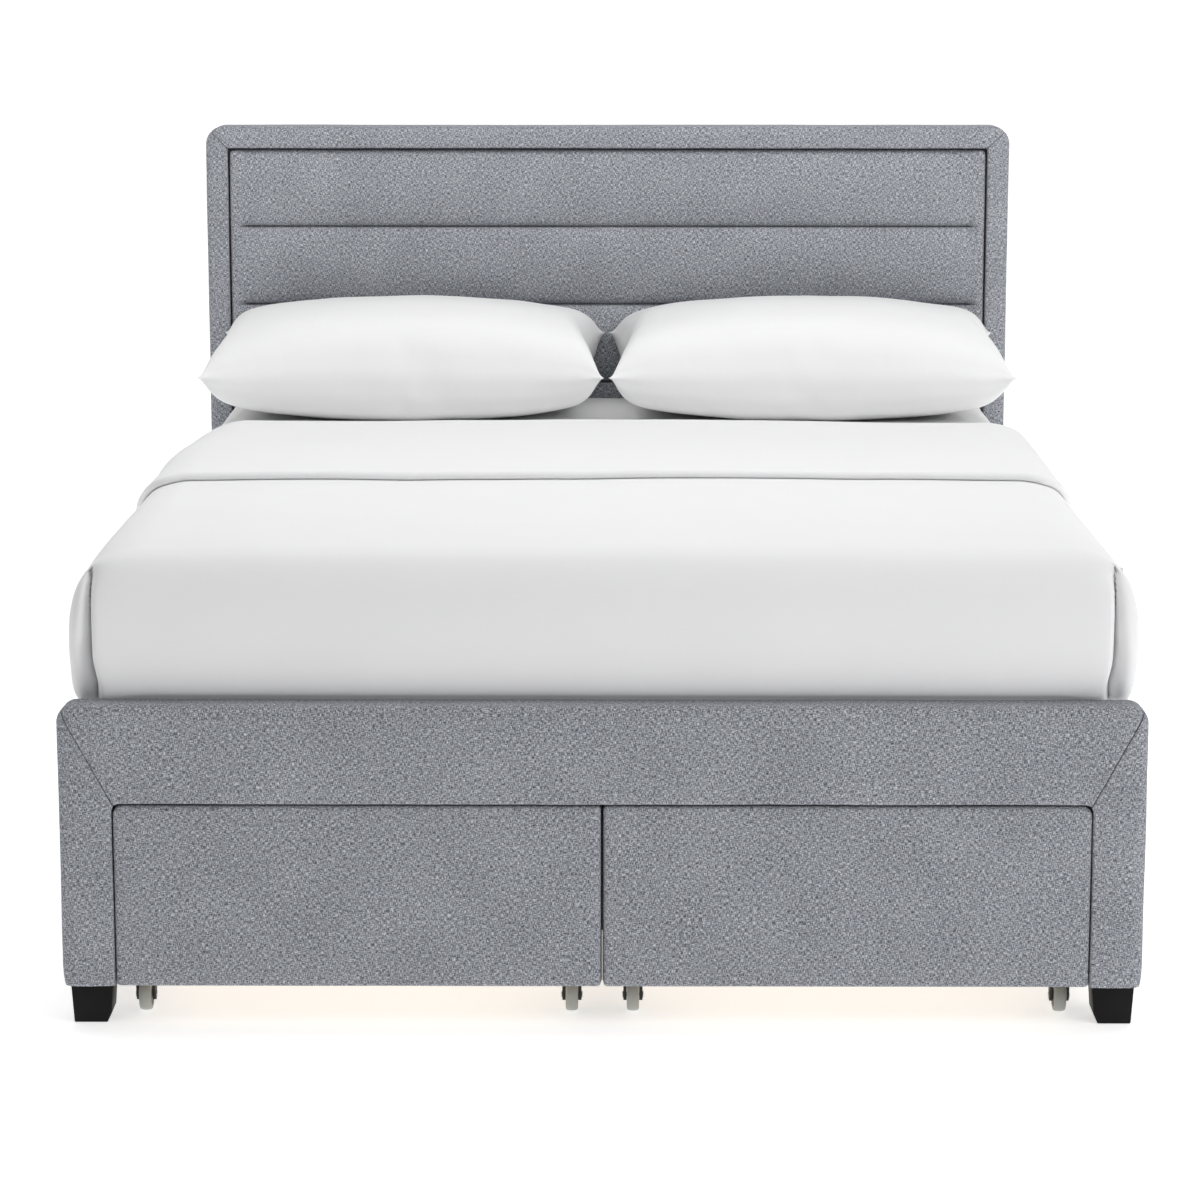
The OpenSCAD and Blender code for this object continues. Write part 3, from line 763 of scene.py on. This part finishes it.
def make_side_rail(side, sign):
    """The padded cover of a side rail, which faces outwards."""
    node = f"side_rail_cover_{side}"
    low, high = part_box(node)
    length, height = high.y - low.y, high.z - low.z
    us = graded(length, 20 * MM, 6, 120)
    vs = graded(height, 26 * MM, 10, 26)
    outer = high.x if sign > 0 else low.x

    def depth_at(u, v, inset):
        edge = np.minimum(v, height - v)
        crown = 2 * MM * np.clip(1 - edge / (60 * MM), 0, 1) ** 2
        return roll(edge, 11 * MM) + crown

    obj = panel(f"side_rail_{side}", (us, vs), (0, 0, 0, 0), depth_at,
                high.x - low.x, lambda u, v, d: (outer - sign * d, low.y + u, low.z + v))
    co = coordinates(obj)
    face = np.abs(co[:, 0]) > abs(outer) - 13 * MM
    co[:, 0] -= sign * np.where(face, np.abs(waves(co, 0.19, 1.3 * MM, 31)), 0)
    set_coordinates(obj, co)
    finish_linen(obj, "frame", node)


# ---- mattress, duvet and pillows ----

def curve(points, t):
    """A smooth curve through control points, at places t from 0 to 1 along them."""
    p = np.asarray(points, float)
    p = np.vstack([2 * p[0] - p[1], p, 2 * p[-1] - p[-2]])
    s = np.clip(np.asarray(t, float), 0, 1) * (len(p) - 3)
    i = np.minimum(s.astype(int), len(p) - 4)
    f = (s - i)[..., None]
    a, b, c, d = p[i], p[i + 1], p[i + 2], p[i + 3]
    return 0.5 * (2 * b + (c - a) * f + (2 * a - 5 * b + 4 * c - d) * f ** 2
                  + (3 * b - a - 3 * c + d) * f ** 3)


def ease(value, start, stop):
    """0 before start, 1 after stop, smooth between."""
    t = np.clip((np.asarray(value, float) - start) / (stop - start), 0, 1)
    return t * t * (3 - 2 * t)


SHOULDER = 0.680  # how far out the duvet's top begins to roll over its side
FRONT_EDGE = -0.920  # the same at the foot
DUVET_Z = 0.7195  # the duvet's top at its shoulders
CROWN = 0.0025  # how much higher it is in the middle
HEM = -0.268  # the free edge of the turned-down part
LAYER = 14 * MM
CREASE = 0.768  # how far out the corner folds lie


def side_profile(t, y, sign):
    """X (unsigned) and Z of the duvet's side from its shoulder down to the tuck, at a place y."""
    t, y = np.broadcast_arrays(np.asarray(t, float), np.asarray(y, float))
    out = curve([(SHOULDER, DUVET_Z), (0.722, 0.7175), (0.764, 0.704), (0.792, 0.675), (0.806, 0.636),
                 (0.810, 0.590), (0.808, 0.545), (0.802, 0.503), (0.788, 0.478), (0.7735, 0.466)], t)
    x, z = out[..., 0], out[..., 1]
    bulge = np.sin(np.pi * np.clip(t, 0, 1)) ** 2
    x = x - 0.008 * bulge * (1 - ease(y, -1.02, -0.86))
    x = x - 0.006 * bulge * np.exp(-((y - HEM - 0.20) / 0.07) ** 2)
    sag = (26 if sign < 0 else -4) * MM
    z = z - sag * ease(y, 0.05, 0.42) * np.sin(np.pi * np.clip(t * 1.7, 0, 1)) ** 1.5
    return x, z


def front_profile(t):
    """Y and Z of the duvet's end above the foot, from its shoulder down to the tuck."""
    out = curve([(FRONT_EDGE, DUVET_Z), (-0.962, 0.7185), (-1.004, 0.709), (-1.032, 0.682),
                 (-1.044, 0.640), (-1.0465, 0.594), (-1.044, 0.548), (-1.038, 0.514),
                 (-1.0295, 0.503), (-1.0272, 0.489)], t)
    return out[..., 0], out[..., 1]


def duvet_section(u, y):
    """X and Z across the bed at a place y: u is X on the top, and beyond the shoulder a profile
    place from 0 to 1 is added."""
    over = np.clip(np.abs(u) - SHOULDER, 0, 1)
    x = np.array(u, float)
    z = DUVET_Z + CROWN * (1 - (np.clip(np.abs(u), 0, SHOULDER) / SHOULDER) ** 2)
    for sign in SIDES.values():
        px, pz = side_profile(over, y, sign)
        on = (np.abs(u) > SHOULDER) & (np.sign(u) == sign)
        x, z = np.where(on, sign * px, x), np.where(on, pz, z)
    return x, z


def hospital_crease(points):
    """The tucked fold at each corner above the foot. The cloth is drawn in along a line beside
    the front: the front's edge is crisp and the flap slopes back out, more open to the foot."""
    x, y, z = points.T
    at_front = ease(-y, 0.985, 1.020) * ease(z, 0.486, 0.503)
    off = np.abs(x) - CREASE
    drift = 0.007 * ease(z, 0.680, 0.710) - 0.008 * ease(0.57 - z, 0, 0.06)
    slid = x + np.sign(x) * drift * np.exp(-(off / 0.025) ** 2) * at_front
    low = 1 - ease(z, 0.690, 0.716)
    open_ = ease(-z, -0.66, -0.50)
    front = np.exp(np.minimum(off, 0) / ((2.6 + 6 * ease(z, 0.665, 0.70)) * MM))
    flap = np.exp(-np.maximum(off, 0) / ((7 + 8 * open_) * MM))
    pucker = np.sin(z / (10 * MM)) * np.sin(z / (23 * MM) + 1) * np.exp(-np.maximum(off, 0) / (14 * MM))
    pucker = pucker * (off > 0) * ease(z, 0.51, 0.54) * (1 - ease(z, 0.64, 0.67))
    depth = ((34 + 22 * open_) * MM * front * flap + 3.4 * MM * pucker) * low
    return np.stack([slid, y + depth * at_front, z], 1)


def duvet_top(head):
    """The duvet's upper surface: a grid on the bed's top, and columns that run down from its edge
    to the tuck, fanned out round the corners. Gives its points and faces, its lines of points at
    the head and the tuck, and where the head's points lie across the bed."""
    steps = spread(0, 1, 43)[1:]
    xs, ys = spread(-SHOULDER, SHOULDER, 99), spread(FRONT_EDGE, head, 98)
    verts, faces = [], []
    for x in xs:
        crown = DUVET_Z + CROWN * (1 - (x / SHOULDER) ** 2)
        verts += [(x, y, crown) for y in ys]
    ny = len(ys)
    faces += grid_faces(len(xs), ny)
    columns = []

    def add_column(base, points):
        start = len(verts)
        verts.extend(points)
        columns.append([base] + list(range(start, start + len(points))))

    def add_side(j, sign):
        x, z = side_profile(steps, ys[j], sign)
        add_column(j if sign < 0 else (len(xs) - 1) * ny + j,
                   list(zip(sign * x, np.full(len(steps), ys[j]), z)))

    ratios = [(1, t) for t in spread(0, 1, 15)[1:]]
    ratios += [(r, 1) for r in (0.96, 0.92, *spread(0.89, 0.37, 58), 0.30, 0.20, 0.10)]

    def add_corner(a, b, sign):
        norm = (a ** 6 + b ** 6) ** (1 / 6)
        dx, dy = a / norm, b / norm
        sx, sz = side_profile(steps, FRONT_EDGE, sign)
        fy, fz = front_profile(steps)
        share = dx ** 2 / (dx ** 2 + dy ** 2)
        add_column(0 if sign < 0 else (len(xs) - 1) * ny, list(zip(
            sign * (SHOULDER + (sx - SHOULDER) * dx), FRONT_EDGE + (fy - FRONT_EDGE) * dy,
            sz * share + fz * (1 - share))))

    for j in range(ny - 1, -1, -1):
        add_side(j, -1)
    for a, b in ratios:
        add_corner(a, b, -1)
    fy, fz = front_profile(steps)
    for i, x in enumerate(xs):
        crown = CROWN * (1 - (x / SHOULDER) ** 2) * (1 - steps) ** 2
        add_column(i * ny, list(zip(np.full(len(steps), x), fy, fz + crown)))
    for a, b in reversed(ratios):
        add_corner(a, b, 1)
    for j in range(ny):
        add_side(j, 1)
    for c, d in zip(columns, columns[1:]):
        first = (c[0], c[1], d[1]) if c[0] == d[0] else (c[0], c[1], d[1], d[0])
        faces.append(first)
        faces += [(c[m], c[m + 1], d[m + 1], d[m]) for m in range(1, len(c) - 1)]
    head_line = columns[0][:0:-1] + [i * ny + ny - 1 for i in range(len(xs))] + columns[-1][1:]
    tuck_line = [c[-1] for c in columns]
    us = np.concatenate([-SHOULDER - steps[::-1], xs, SHOULDER + steps])
    return np.array(verts), faces, head_line, tuck_line, us


def surface_normals(verts, faces):
    """Each point's normal on an open sheet, turned to face up and out."""
    sheet = make_object("sheet", verts, faces)
    tidy_mesh(sheet, 1e-9)
    n = normals(sheet)
    bpy.data.objects.remove(sheet)
    return n if n[:, 2].sum() > 0 else -n


def loose_swell(points):
    return waves(points, 0.34, 3.2 * MM, 1) + waves(points, 0.13, 1.3 * MM, 2)


def make_duvet():
    """One filled layer, tucked in round the mattress, its head end turned back over itself."""
    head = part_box("duvet")[1].y - 16 * MM
    top, faces, head_line, tuck_line, us = duvet_top(head)
    n = len(us)
    sign = np.where(us < 0, -1.0, 1.0)
    over_u = np.clip(np.abs(us) - SHOULDER, 0, 1)
    normal = surface_normals(top, faces)
    free = ease(top[:, 2], 0.505, 0.56)
    top = top + normal * (loose_swell(top) * free)[:, None]
    top = hospital_crease(top)
    normal = surface_normals(top, faces)
    thin = 1 - 0.72 * (1 - ease(top[:, 2], 0.49, 0.55))
    bottom = top - normal * (LAYER * thin)[:, None]

    # the part turned back: rows at an offset from the same section, its sides cut back a little
    back_u = sign * (np.clip(np.abs(us), 0, SHOULDER) + over_u * 0.90)

    def turned_row(place, offset, slant):
        drop = np.clip((0.712 - duvet_section(back_u, np.full(n, 0.0))[1]) / 0.07, 0, 1.6)
        slope = np.where(us < 0, 0.085, 0.15) * drop * slant
        wander = np.array([noise.noise(Vector((u * 2.2, 4.1, 0))) for u in us]) * 7 * MM * slant
        y = np.full(n, place) + slope + wander
        x, z = duvet_section(back_u, y)
        x2, z2 = duvet_section(back_u + sign * 1e-4, y)
        tx, tz = x2 - x, z2 - z
        size = np.maximum(np.hypot(tx, tz), 1e-12)
        nx, nz = -sign * tz / size, sign * tx / size
        puff = 1 + 0.16 * np.array([noise.noise(Vector((u * 1.7, yy * 4, 9))) for u, yy in zip(us, y)])
        shrink = 1 - 0.45 * ease(over_u, 0.15, 0.6)
        base = np.stack([x, y, z], 1)
        lift = loose_swell(base) * ease(z, 0.505, 0.56)
        off = (offset * shrink * puff if offset > 0 else offset) + lift
        return np.stack([x + nx * off, y, z + nz * off], 1)

    gap = 0.7 * MM  # between the layers
    body = head - HEM
    under, over = [], []
    for s in spread(1, 0, 50):
        under.append(turned_row(HEM + 3 * MM + s * (body - 3 * MM), gap, (1 - s) ** 1.2))
    for a in np.radians(spread(-80, 90, 9)):
        mid, half = (LAYER + gap * 2) / 2, LAYER / 2
        over.append(turned_row(HEM + half - half * math.cos(a), mid + half * math.sin(a), 1.0))
    for s in spread(0, 1, 50)[1:]:
        start = LAYER / 2 / body
        over.append(turned_row(HEM + (start + s * (1 - start)) * body, LAYER + gap, (1 - s) ** 1.2))
    fold = []
    centre, radius = gap / 2, LAYER + gap / 2
    for a in np.radians(spread(90, -90, 15)[1:-1]):
        fold.append(turned_row(head + radius * math.cos(a) * 1.05,
                               centre + radius * math.sin(a), 0))
    count = len(top)
    rows = [head_line]
    verts = [top, bottom]
    at = 2 * count
    for row in under + over + fold:
        verts.append(row)
        rows.append(list(range(at, at + n)))
        at += n
    rows.append([v + count for v in head_line])
    verts = np.concatenate(verts)
    faces = faces + [tuple(v + count for v in f) for f in faces]
    for a, b in zip(tuck_line, tuck_line[1:]):
        faces.append((a, b, b + count, a + count))
    for low, high in zip(rows, rows[1:]):
        faces += [(low[c], low[c + 1], high[c + 1], high[c]) for c in range(n - 1)]
    first, turn, last = 1, 1 + len(under), 1 + len(under) + len(over)
    arc = len(over) - len(under)
    for c in (0, n - 1):
        for k in range(len(under) - 1):
            u, o = first + k, last - 1 - k
            faces.append((rows[u][c], rows[u + 1][c], rows[o - 1][c], rows[o][c]))
        faces.append(tuple(rows[r][c] for r in range(turn - 1, turn + arc + 1)))
        faces.append(tuple(rows[r][c] for r in (0, 1, *range(last - 1, len(rows)))))
    obj = tidy_mesh(make_object("duvet_folded", verts, faces), 2e-5)
    smooth(obj, 70)
    finish_piece(obj, DUVET_COTTON, "duvet_cotton", "frame", "duvet")


def rounded_block(name, low, high, radius, step):
    """A block whose edges are rounded, as six grids drawn onto its smaller inner block."""
    axes = []
    for a in range(3):
        inner = spread(low[a] + radius, high[a] - radius,
                       max(2, int((high[a] - low[a] - 2 * radius) / step)))
        turn = radius * spread(0, 1, 8)[:-1]
        axes.append(np.concatenate([low[a] + turn, inner, (high[a] - turn)[::-1]]))
    verts, faces = [], []
    for a in range(3):
        i, j = [k for k in range(3) if k != a]
        gi, gj = np.meshgrid(axes[i], axes[j], indexing="ij")
        for end in (low[a], high[a]):
            p = np.empty(gi.shape + (3,))
            p[..., i], p[..., j], p[..., a] = gi, gj, end
            start = len(verts)
            verts += list(p.reshape(-1, 3))
            faces += grid_faces(*gi.shape, start)
    verts = np.array(verts)
    core = np.clip(verts, np.array(low) + radius, np.array(high) - radius)
    gone = verts - core
    # even angles round each edge
    angle = np.clip(np.abs(gone) / radius, 0, 1)
    warped = np.sign(gone) * np.tan(angle * math.pi / 4)
    size = np.maximum(np.linalg.norm(warped, axis=1, keepdims=True), 1e-12)
    verts = core + warped / size * radius
    return tidy_mesh(make_object(name, verts, faces))


def make_mattress():
    """The mattress in its fitted sheet."""
    low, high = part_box("mattress")
    obj = rounded_block("mattress_in_sheet", low, high, 42 * MM, 30 * MM)
    co = coordinates(obj)
    n = normals(obj)
    near_head = ease(co[:, 1], 0.30, 0.55)
    pull = waves(co * np.array([1.0, 0.28, 1.0]), 0.045, 1.6 * MM, 41) * near_head
    drape = waves(co, 0.22, 2.0 * MM, 42) - 1.2 * MM
    top = ease(co[:, 2], 0.62, 0.70)
    set_coordinates(obj, co + n * ((pull + drape) * (0.3 + 0.7 * top))[:, None])
    smooth(obj, 60)
    finish_piece(obj, SHEET_COTTON, "mattress_ticking", "frame", "mattress")


def pillow_case(name, width, depth, thick):
    """A closed two-sided case: a nearly flat envelope with finer rows beside its seam."""
    def lines(length, step):
        near = [0, 2.5 * MM, 6 * MM, 12 * MM, 20 * MM]
        inner = spread(near[-1], length - near[-1], max(3, int(length / step)))[1:-1]
        return np.array(near + list(inner) + [length - v for v in near[::-1]]) - length / 2
    xs, ys = lines(width, 11 * MM), lines(depth, 11 * MM)
    gx, gy = np.meshgrid(xs, ys, indexing="ij")
    dome = ((1 - (2 * gx / width) ** 2) * (1 - (2 * gy / depth) ** 2)) ** 0.5
    # the sides of a real case are drawn in between its corners
    gx = gx * (1 - 0.045 * (1 - (2 * gy / depth) ** 2))
    gy = gy * (1 - 0.050 * (1 - (2 * gx / width) ** 2))
    top = np.stack([gx, gy, dome * thick / 2], 2).reshape(-1, 3)
    under = top * np.array([1, 1, -1])
    nx, ny = gx.shape
    faces = grid_faces(nx, ny) + [f[::-1] for f in grid_faces(nx, ny, nx * ny)]
    return tidy_mesh(make_object(name, np.concatenate([top, under]), faces))


def inflate(obj, frames, pressure):
    """Blows a case up as cloth, without gravity."""
    scene = bpy.context.scene
    cloth = obj.modifiers.new("cloth", "CLOTH")
    s = cloth.settings
    s.quality = 6
    s.mass = 0.3
    s.tension_stiffness = s.compression_stiffness = 18
    s.shear_stiffness = 6
    s.bending_stiffness = 12
    s.use_pressure = True
    s.uniform_pressure_force = pressure
    s.effector_weights.gravity = 0
    s.air_damping = 4
    cloth.collision_settings.use_collision = False
    cloth.point_cache.frame_start = 1
    cloth.point_cache.frame_end = frames
    scene.frame_start, scene.frame_end = 1, frames
    for f in range(1, frames + 1):
        scene.frame_set(f)
    apply_modifiers(obj)
    scene.frame_set(1)
    return obj


def make_pillow(side, sign):
    """A pillow: its blown-up case is fitted to its place, flat below and pointed at its corners."""
    node = f"pillow_{side}"
    low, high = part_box(node)
    obj = pillow_case(f"pillow_{side}_case", 0.84, 0.58, 0.22)
    seam = np.abs(coordinates(obj)[:, 2]) < 0.01 * MM
    inflate(obj, 14, 2.5)
    ironed = obj.modifiers.new("ironed", "SMOOTH")
    ironed.factor, ironed.iterations = 0.5, 10
    apply_modifiers(obj)
    co = coordinates(obj)
    co[:, 0] *= sign  # the two pillows mirror each other
    size = np.ptp(co, axis=0)
    co = (co - (co.max(0) + co.min(0)) / 2) / size  # now from -0.5 to 0.5 each way
    width, depth = high.x - low.x, high.y - low.y
    tip = (np.clip(np.abs(co[:, 0]) * 2, 0, 1) * np.clip(np.abs(co[:, 1]) * 2, 0, 1)) ** 7
    lift = np.clip(co[:, 2] * 2, 0, 1) ** (0.66 + 0.45 * tip)
    drop = np.clip(-co[:, 2] * 2.5, 0, 1) ** (0.6 + 0.45 * tip)
    wander = waves(np.stack([co[:, 0] * width, co[:, 1], 0 * co[:, 0]], 1), 0.17, 9 * MM, 57 + sign)
    seam_z = 0.800 + 0.035 * ease(co[:, 1], -0.5, 0.5) + wander * (1 - 2 * np.abs(co[:, 0]))
    z = seam_z + (high.z - 3 * MM - seam_z) * lift - (seam_z - low.z - 1.5 * MM) * drop
    placed = np.stack([(low.x + high.x) / 2 + co[:, 0] * width, (low.y + high.y) / 2 + co[:, 1] * depth,
                       z], 1)
    set_coordinates(obj, placed)
    if sign < 0:
        obj.data.flip_normals()
    n = normals(obj)
    placed += n * (waves(placed, 0.12, 2.5 * MM, 51 + sign) + waves(placed, 0.045, 0.8 * MM, 5))[:, None]
    placed += n * (seam * 5 * MM)[:, None]
    placed[:, 2] = np.maximum(placed[:, 2], low.z + 0.5 * MM)
    set_coordinates(obj, placed)
    sub = obj.modifiers.new("fine", "SUBSURF")
    sub.levels = sub.render_levels = 1
    apply_modifiers(obj)
    smooth(obj, 75)
    finish_piece(obj, PILLOW_COTTON, "pillow_cotton", "frame", node)


# ---- hard parts ----

def make_softened(body, groups, prefix=""):
    """Pieces from a body's CAD solids: material, slot, edge width in mm and names of each group."""
    for material, slot, width, names in groups:
        for name in names.split():
            node = prefix + name
            obj = softened(node, f"{node}_piece", width * MM)
            finish_piece(obj, material, slot, body, node)


def make_plain_parts():
    """Boards, slats, legs, holders and bolts: the frame's solids with eased edges."""
    groups = [
        (BOARD, "frame_board", 1.5, "headboard_board foot_rail_board foot_post_board_left "
         "foot_post_board_right side_rail_board_left side_rail_board_right"),
        (PINE, "frame_pine", 2, "corner_blocks slat_ledger_left slat_ledger_right"),
        (STEEL_DARK, "steel_dark", 2.5, "centre_beam"),
        (STEEL_DARK, "steel_dark", 0.6, "centre_beam_brackets"),
        (STEEL_DARK, "steel_dark", 1, "centre_leg_front centre_leg_rear"),
        (BIRCH, "slat_birch", 1.6, "slats_left slats_right"),
        (HOLDER_PLASTIC, "slat_holder_plastic", 0.8, "slat_holders"),
        (ZINC, "steel_zinc", 0.4, "frame_bolts"),
        (BLACK_PAINT, "leg_black", 2, "leg_foot_left leg_foot_right leg_head_left leg_head_right"),
    ]
    make_softened("frame", groups)


def make_drawer_box(side):
    """A drawer's boards, forks and axles."""
    make_softened(f"drawer_{side}", [
        (BOARD, "frame_board", 1, "front_board"),
        (DRAWER_FOIL, "drawer_board", 0.8, "side_outer side_inner back base"),
        (FORK_PLASTIC, "castor_fork_plastic", 0.6, "castor_forks"),
        (ZINC, "steel_zinc", 0.3, "castor_axles")], f"drawer_{side}_")


def lathe(name, profile, centre, count):
    """A ring turned about X from its profile of (along, radius) points."""
    verts, faces = [], []
    m = len(profile)
    for k in range(count):
        a = 2 * math.pi * k / count
        for x, r in profile:
            verts.append((centre.x + x, centre.y + r * math.sin(a), centre.z + r * math.cos(a)))
    for k in range(count):
        j = (k + 1) % count
        for i in range(m):
            after = (i + 1) % m
            faces.append((k * m + i, j * m + i, j * m + after, k * m + after))
    return tidy_mesh(make_object(name, verts, faces))


def make_wheel(side, row, place):
    """A castor wheel: a crowned tread, and a web sunk between rim and hub on both sides."""
    node = f"drawer_{side}_wheel_{row}_{place}"
    low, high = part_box(node)
    centre = (low + high) / 2
    half, r = (high.x - low.x) / 2, (high.z - low.z) / 2
    bore = 3.06 * MM
    tread = [(half * math.sin(a) * 0.96, r - 3 * MM * (1 - math.cos(a)) ** 1.2)
             for a in np.radians(spread(-80, 80, 11))]
    face = [(half, r - 4.5 * MM), (half * 0.92, r - 7 * MM), (half * 0.62, r - 8.5 * MM),
            (half * 0.60, 9 * MM), (half * 0.9, 7.5 * MM), (half, 6.5 * MM), (half, bore)]
    profile = tread + face + [(-x, rad) for x, rad in reversed(face)]
    obj = lathe(f"{node}_piece", profile, centre, 56)
    smooth(obj, 40)
    finish_piece(obj, WHEEL_PLASTIC, "castor_wheel_plastic", node, node)


def make_lower_panel():
    """The plain linen panel of the headboard, behind the mattress."""
    low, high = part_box("headboard_lower_panel")
    width, height = high.x - low.x, high.z - low.z
    us, vs = graded(width, 20 * MM, 6, 90), graded(height, 20 * MM, 6, 34)
    obj = front_panel(
        "headboard_lower_panel_piece", low, high, (us, vs), (3 * MM,) * 4,
        lambda u, v, inset: roll(inset, 5 * MM) + 2 * MM * (1 - ease(inset, 0, 60 * MM)))
    ripple(obj, low.y + 8 * MM, lambda co: np.abs(waves(co, 0.2, 1.5 * MM, 61)))
    finish_linen(obj, "frame", "headboard_lower_panel")


def make_back_cover():
    """The dust cloth over the headboard's back, drawn in at its row of staples."""
    low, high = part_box("headboard_back_cover")
    width, height = high.x - low.x, high.z - low.z
    edge, pitch = 9 * MM, 58 * MM
    us, vs = graded(width, 30 * MM, 8, 168), graded(height, 30 * MM, 8, 124)

    def depth_at(u, v, inset):
        side = np.minimum(u, width - u) < np.minimum(v, height - v)
        along = np.where(side, v, u)
        pucker = 0.5 + 0.5 * np.cos(2 * np.pi * along / pitch)
        reach = np.exp(-np.abs(inset - edge) / (22 * MM))
        return 0.9 * MM * reach * pucker

    obj = panel("headboard_dust_cloth", (us, vs), (26 * MM,) * 4,
                depth_at, 1.4 * MM, lambda u, v, d: (low.x + u, high.y - d, low.z + v))
    smooth(obj, 60)
    finish_piece(obj, DUST_CLOTH, "dust_cover", "frame", "headboard_back_cover")
    return low, high, edge, pitch


def make_staples(low, high, edge, pitch):
    """Wire staples along the dust cloth's edges, one bent wire each."""
    wire, crown, leg = 0.6 * MM, 10 * MM, 2.2 * MM
    path = [(-crown / 2, -leg), (-crown / 2, -0.3 * MM), (-crown / 2 + 0.5 * MM, wire),
            (crown / 2 - 0.5 * MM, wire), (crown / 2, -0.3 * MM), (crown / 2, -leg)]
    places = []
    width, height = high.x - low.x, high.z - low.z
    for k in range(1, int(width / pitch)):
        for z in (low.z + edge, high.z - edge):
            places.append((low.x + k * pitch, z, 0))
    for k in range(1, int(height / pitch)):
        for x in (low.x + edge, high.x - edge):
            places.append((x, low.z + k * pitch, 90))
    verts, faces = [], []
    sides = 6
    for x, z, turn in places:
        start = len(verts)
        c, s = math.cos(math.radians(turn)), math.sin(math.radians(turn))
        for i, (p, q) in enumerate(path):
            a = path[max(i - 1, 0)]
            b = path[min(i + 1, len(path) - 1)]
            t = Vector((b[0] - a[0], b[1] - a[1])).normalized()
            for k in range(sides):
                w = 2 * math.pi * k / sides
                d, off = math.cos(w) * wire, math.sin(w) * wire
                u, out = p - t.y * d, q + t.x * d
                verts.append((x + u * c - off * s, high.y - 0.9 * MM + out, z + u * s + off * c))
        for i in range(len(path) - 1):
            for k in range(sides):
                a, b = start + i * sides + k, start + i * sides + (k + 1) % sides
                faces.append((a, b, b + sides, a + sides))
        faces.append(tuple(range(start, start + sides)))
        end = start + (len(path) - 1) * sides
        faces.append(tuple(range(end, end + sides)))
    obj = tidy_mesh(make_object("dust_cloth_staples", verts, faces), 1e-6)
    smooth(obj, 60)
    finish_piece(obj, ZINC, "steel_zinc", "frame")


# ---- the whole bed ----

make_camera()
make_studio()
make_headboard_border()
make_channel_panel()
make_lower_panel()
make_staples(*make_back_cover())
make_foot_end()
make_plain_parts()
make_mattress()
make_duvet()
for side, sign in SIDES.items():
    make_drawer_front(side, sign)
    make_side_rail(side, sign)
    make_pillow(side, sign)
    make_drawer_box(side)
    for row in ("front", "rear"):
        for place in ("outer", "inner"):
            make_wheel(side, row, place)
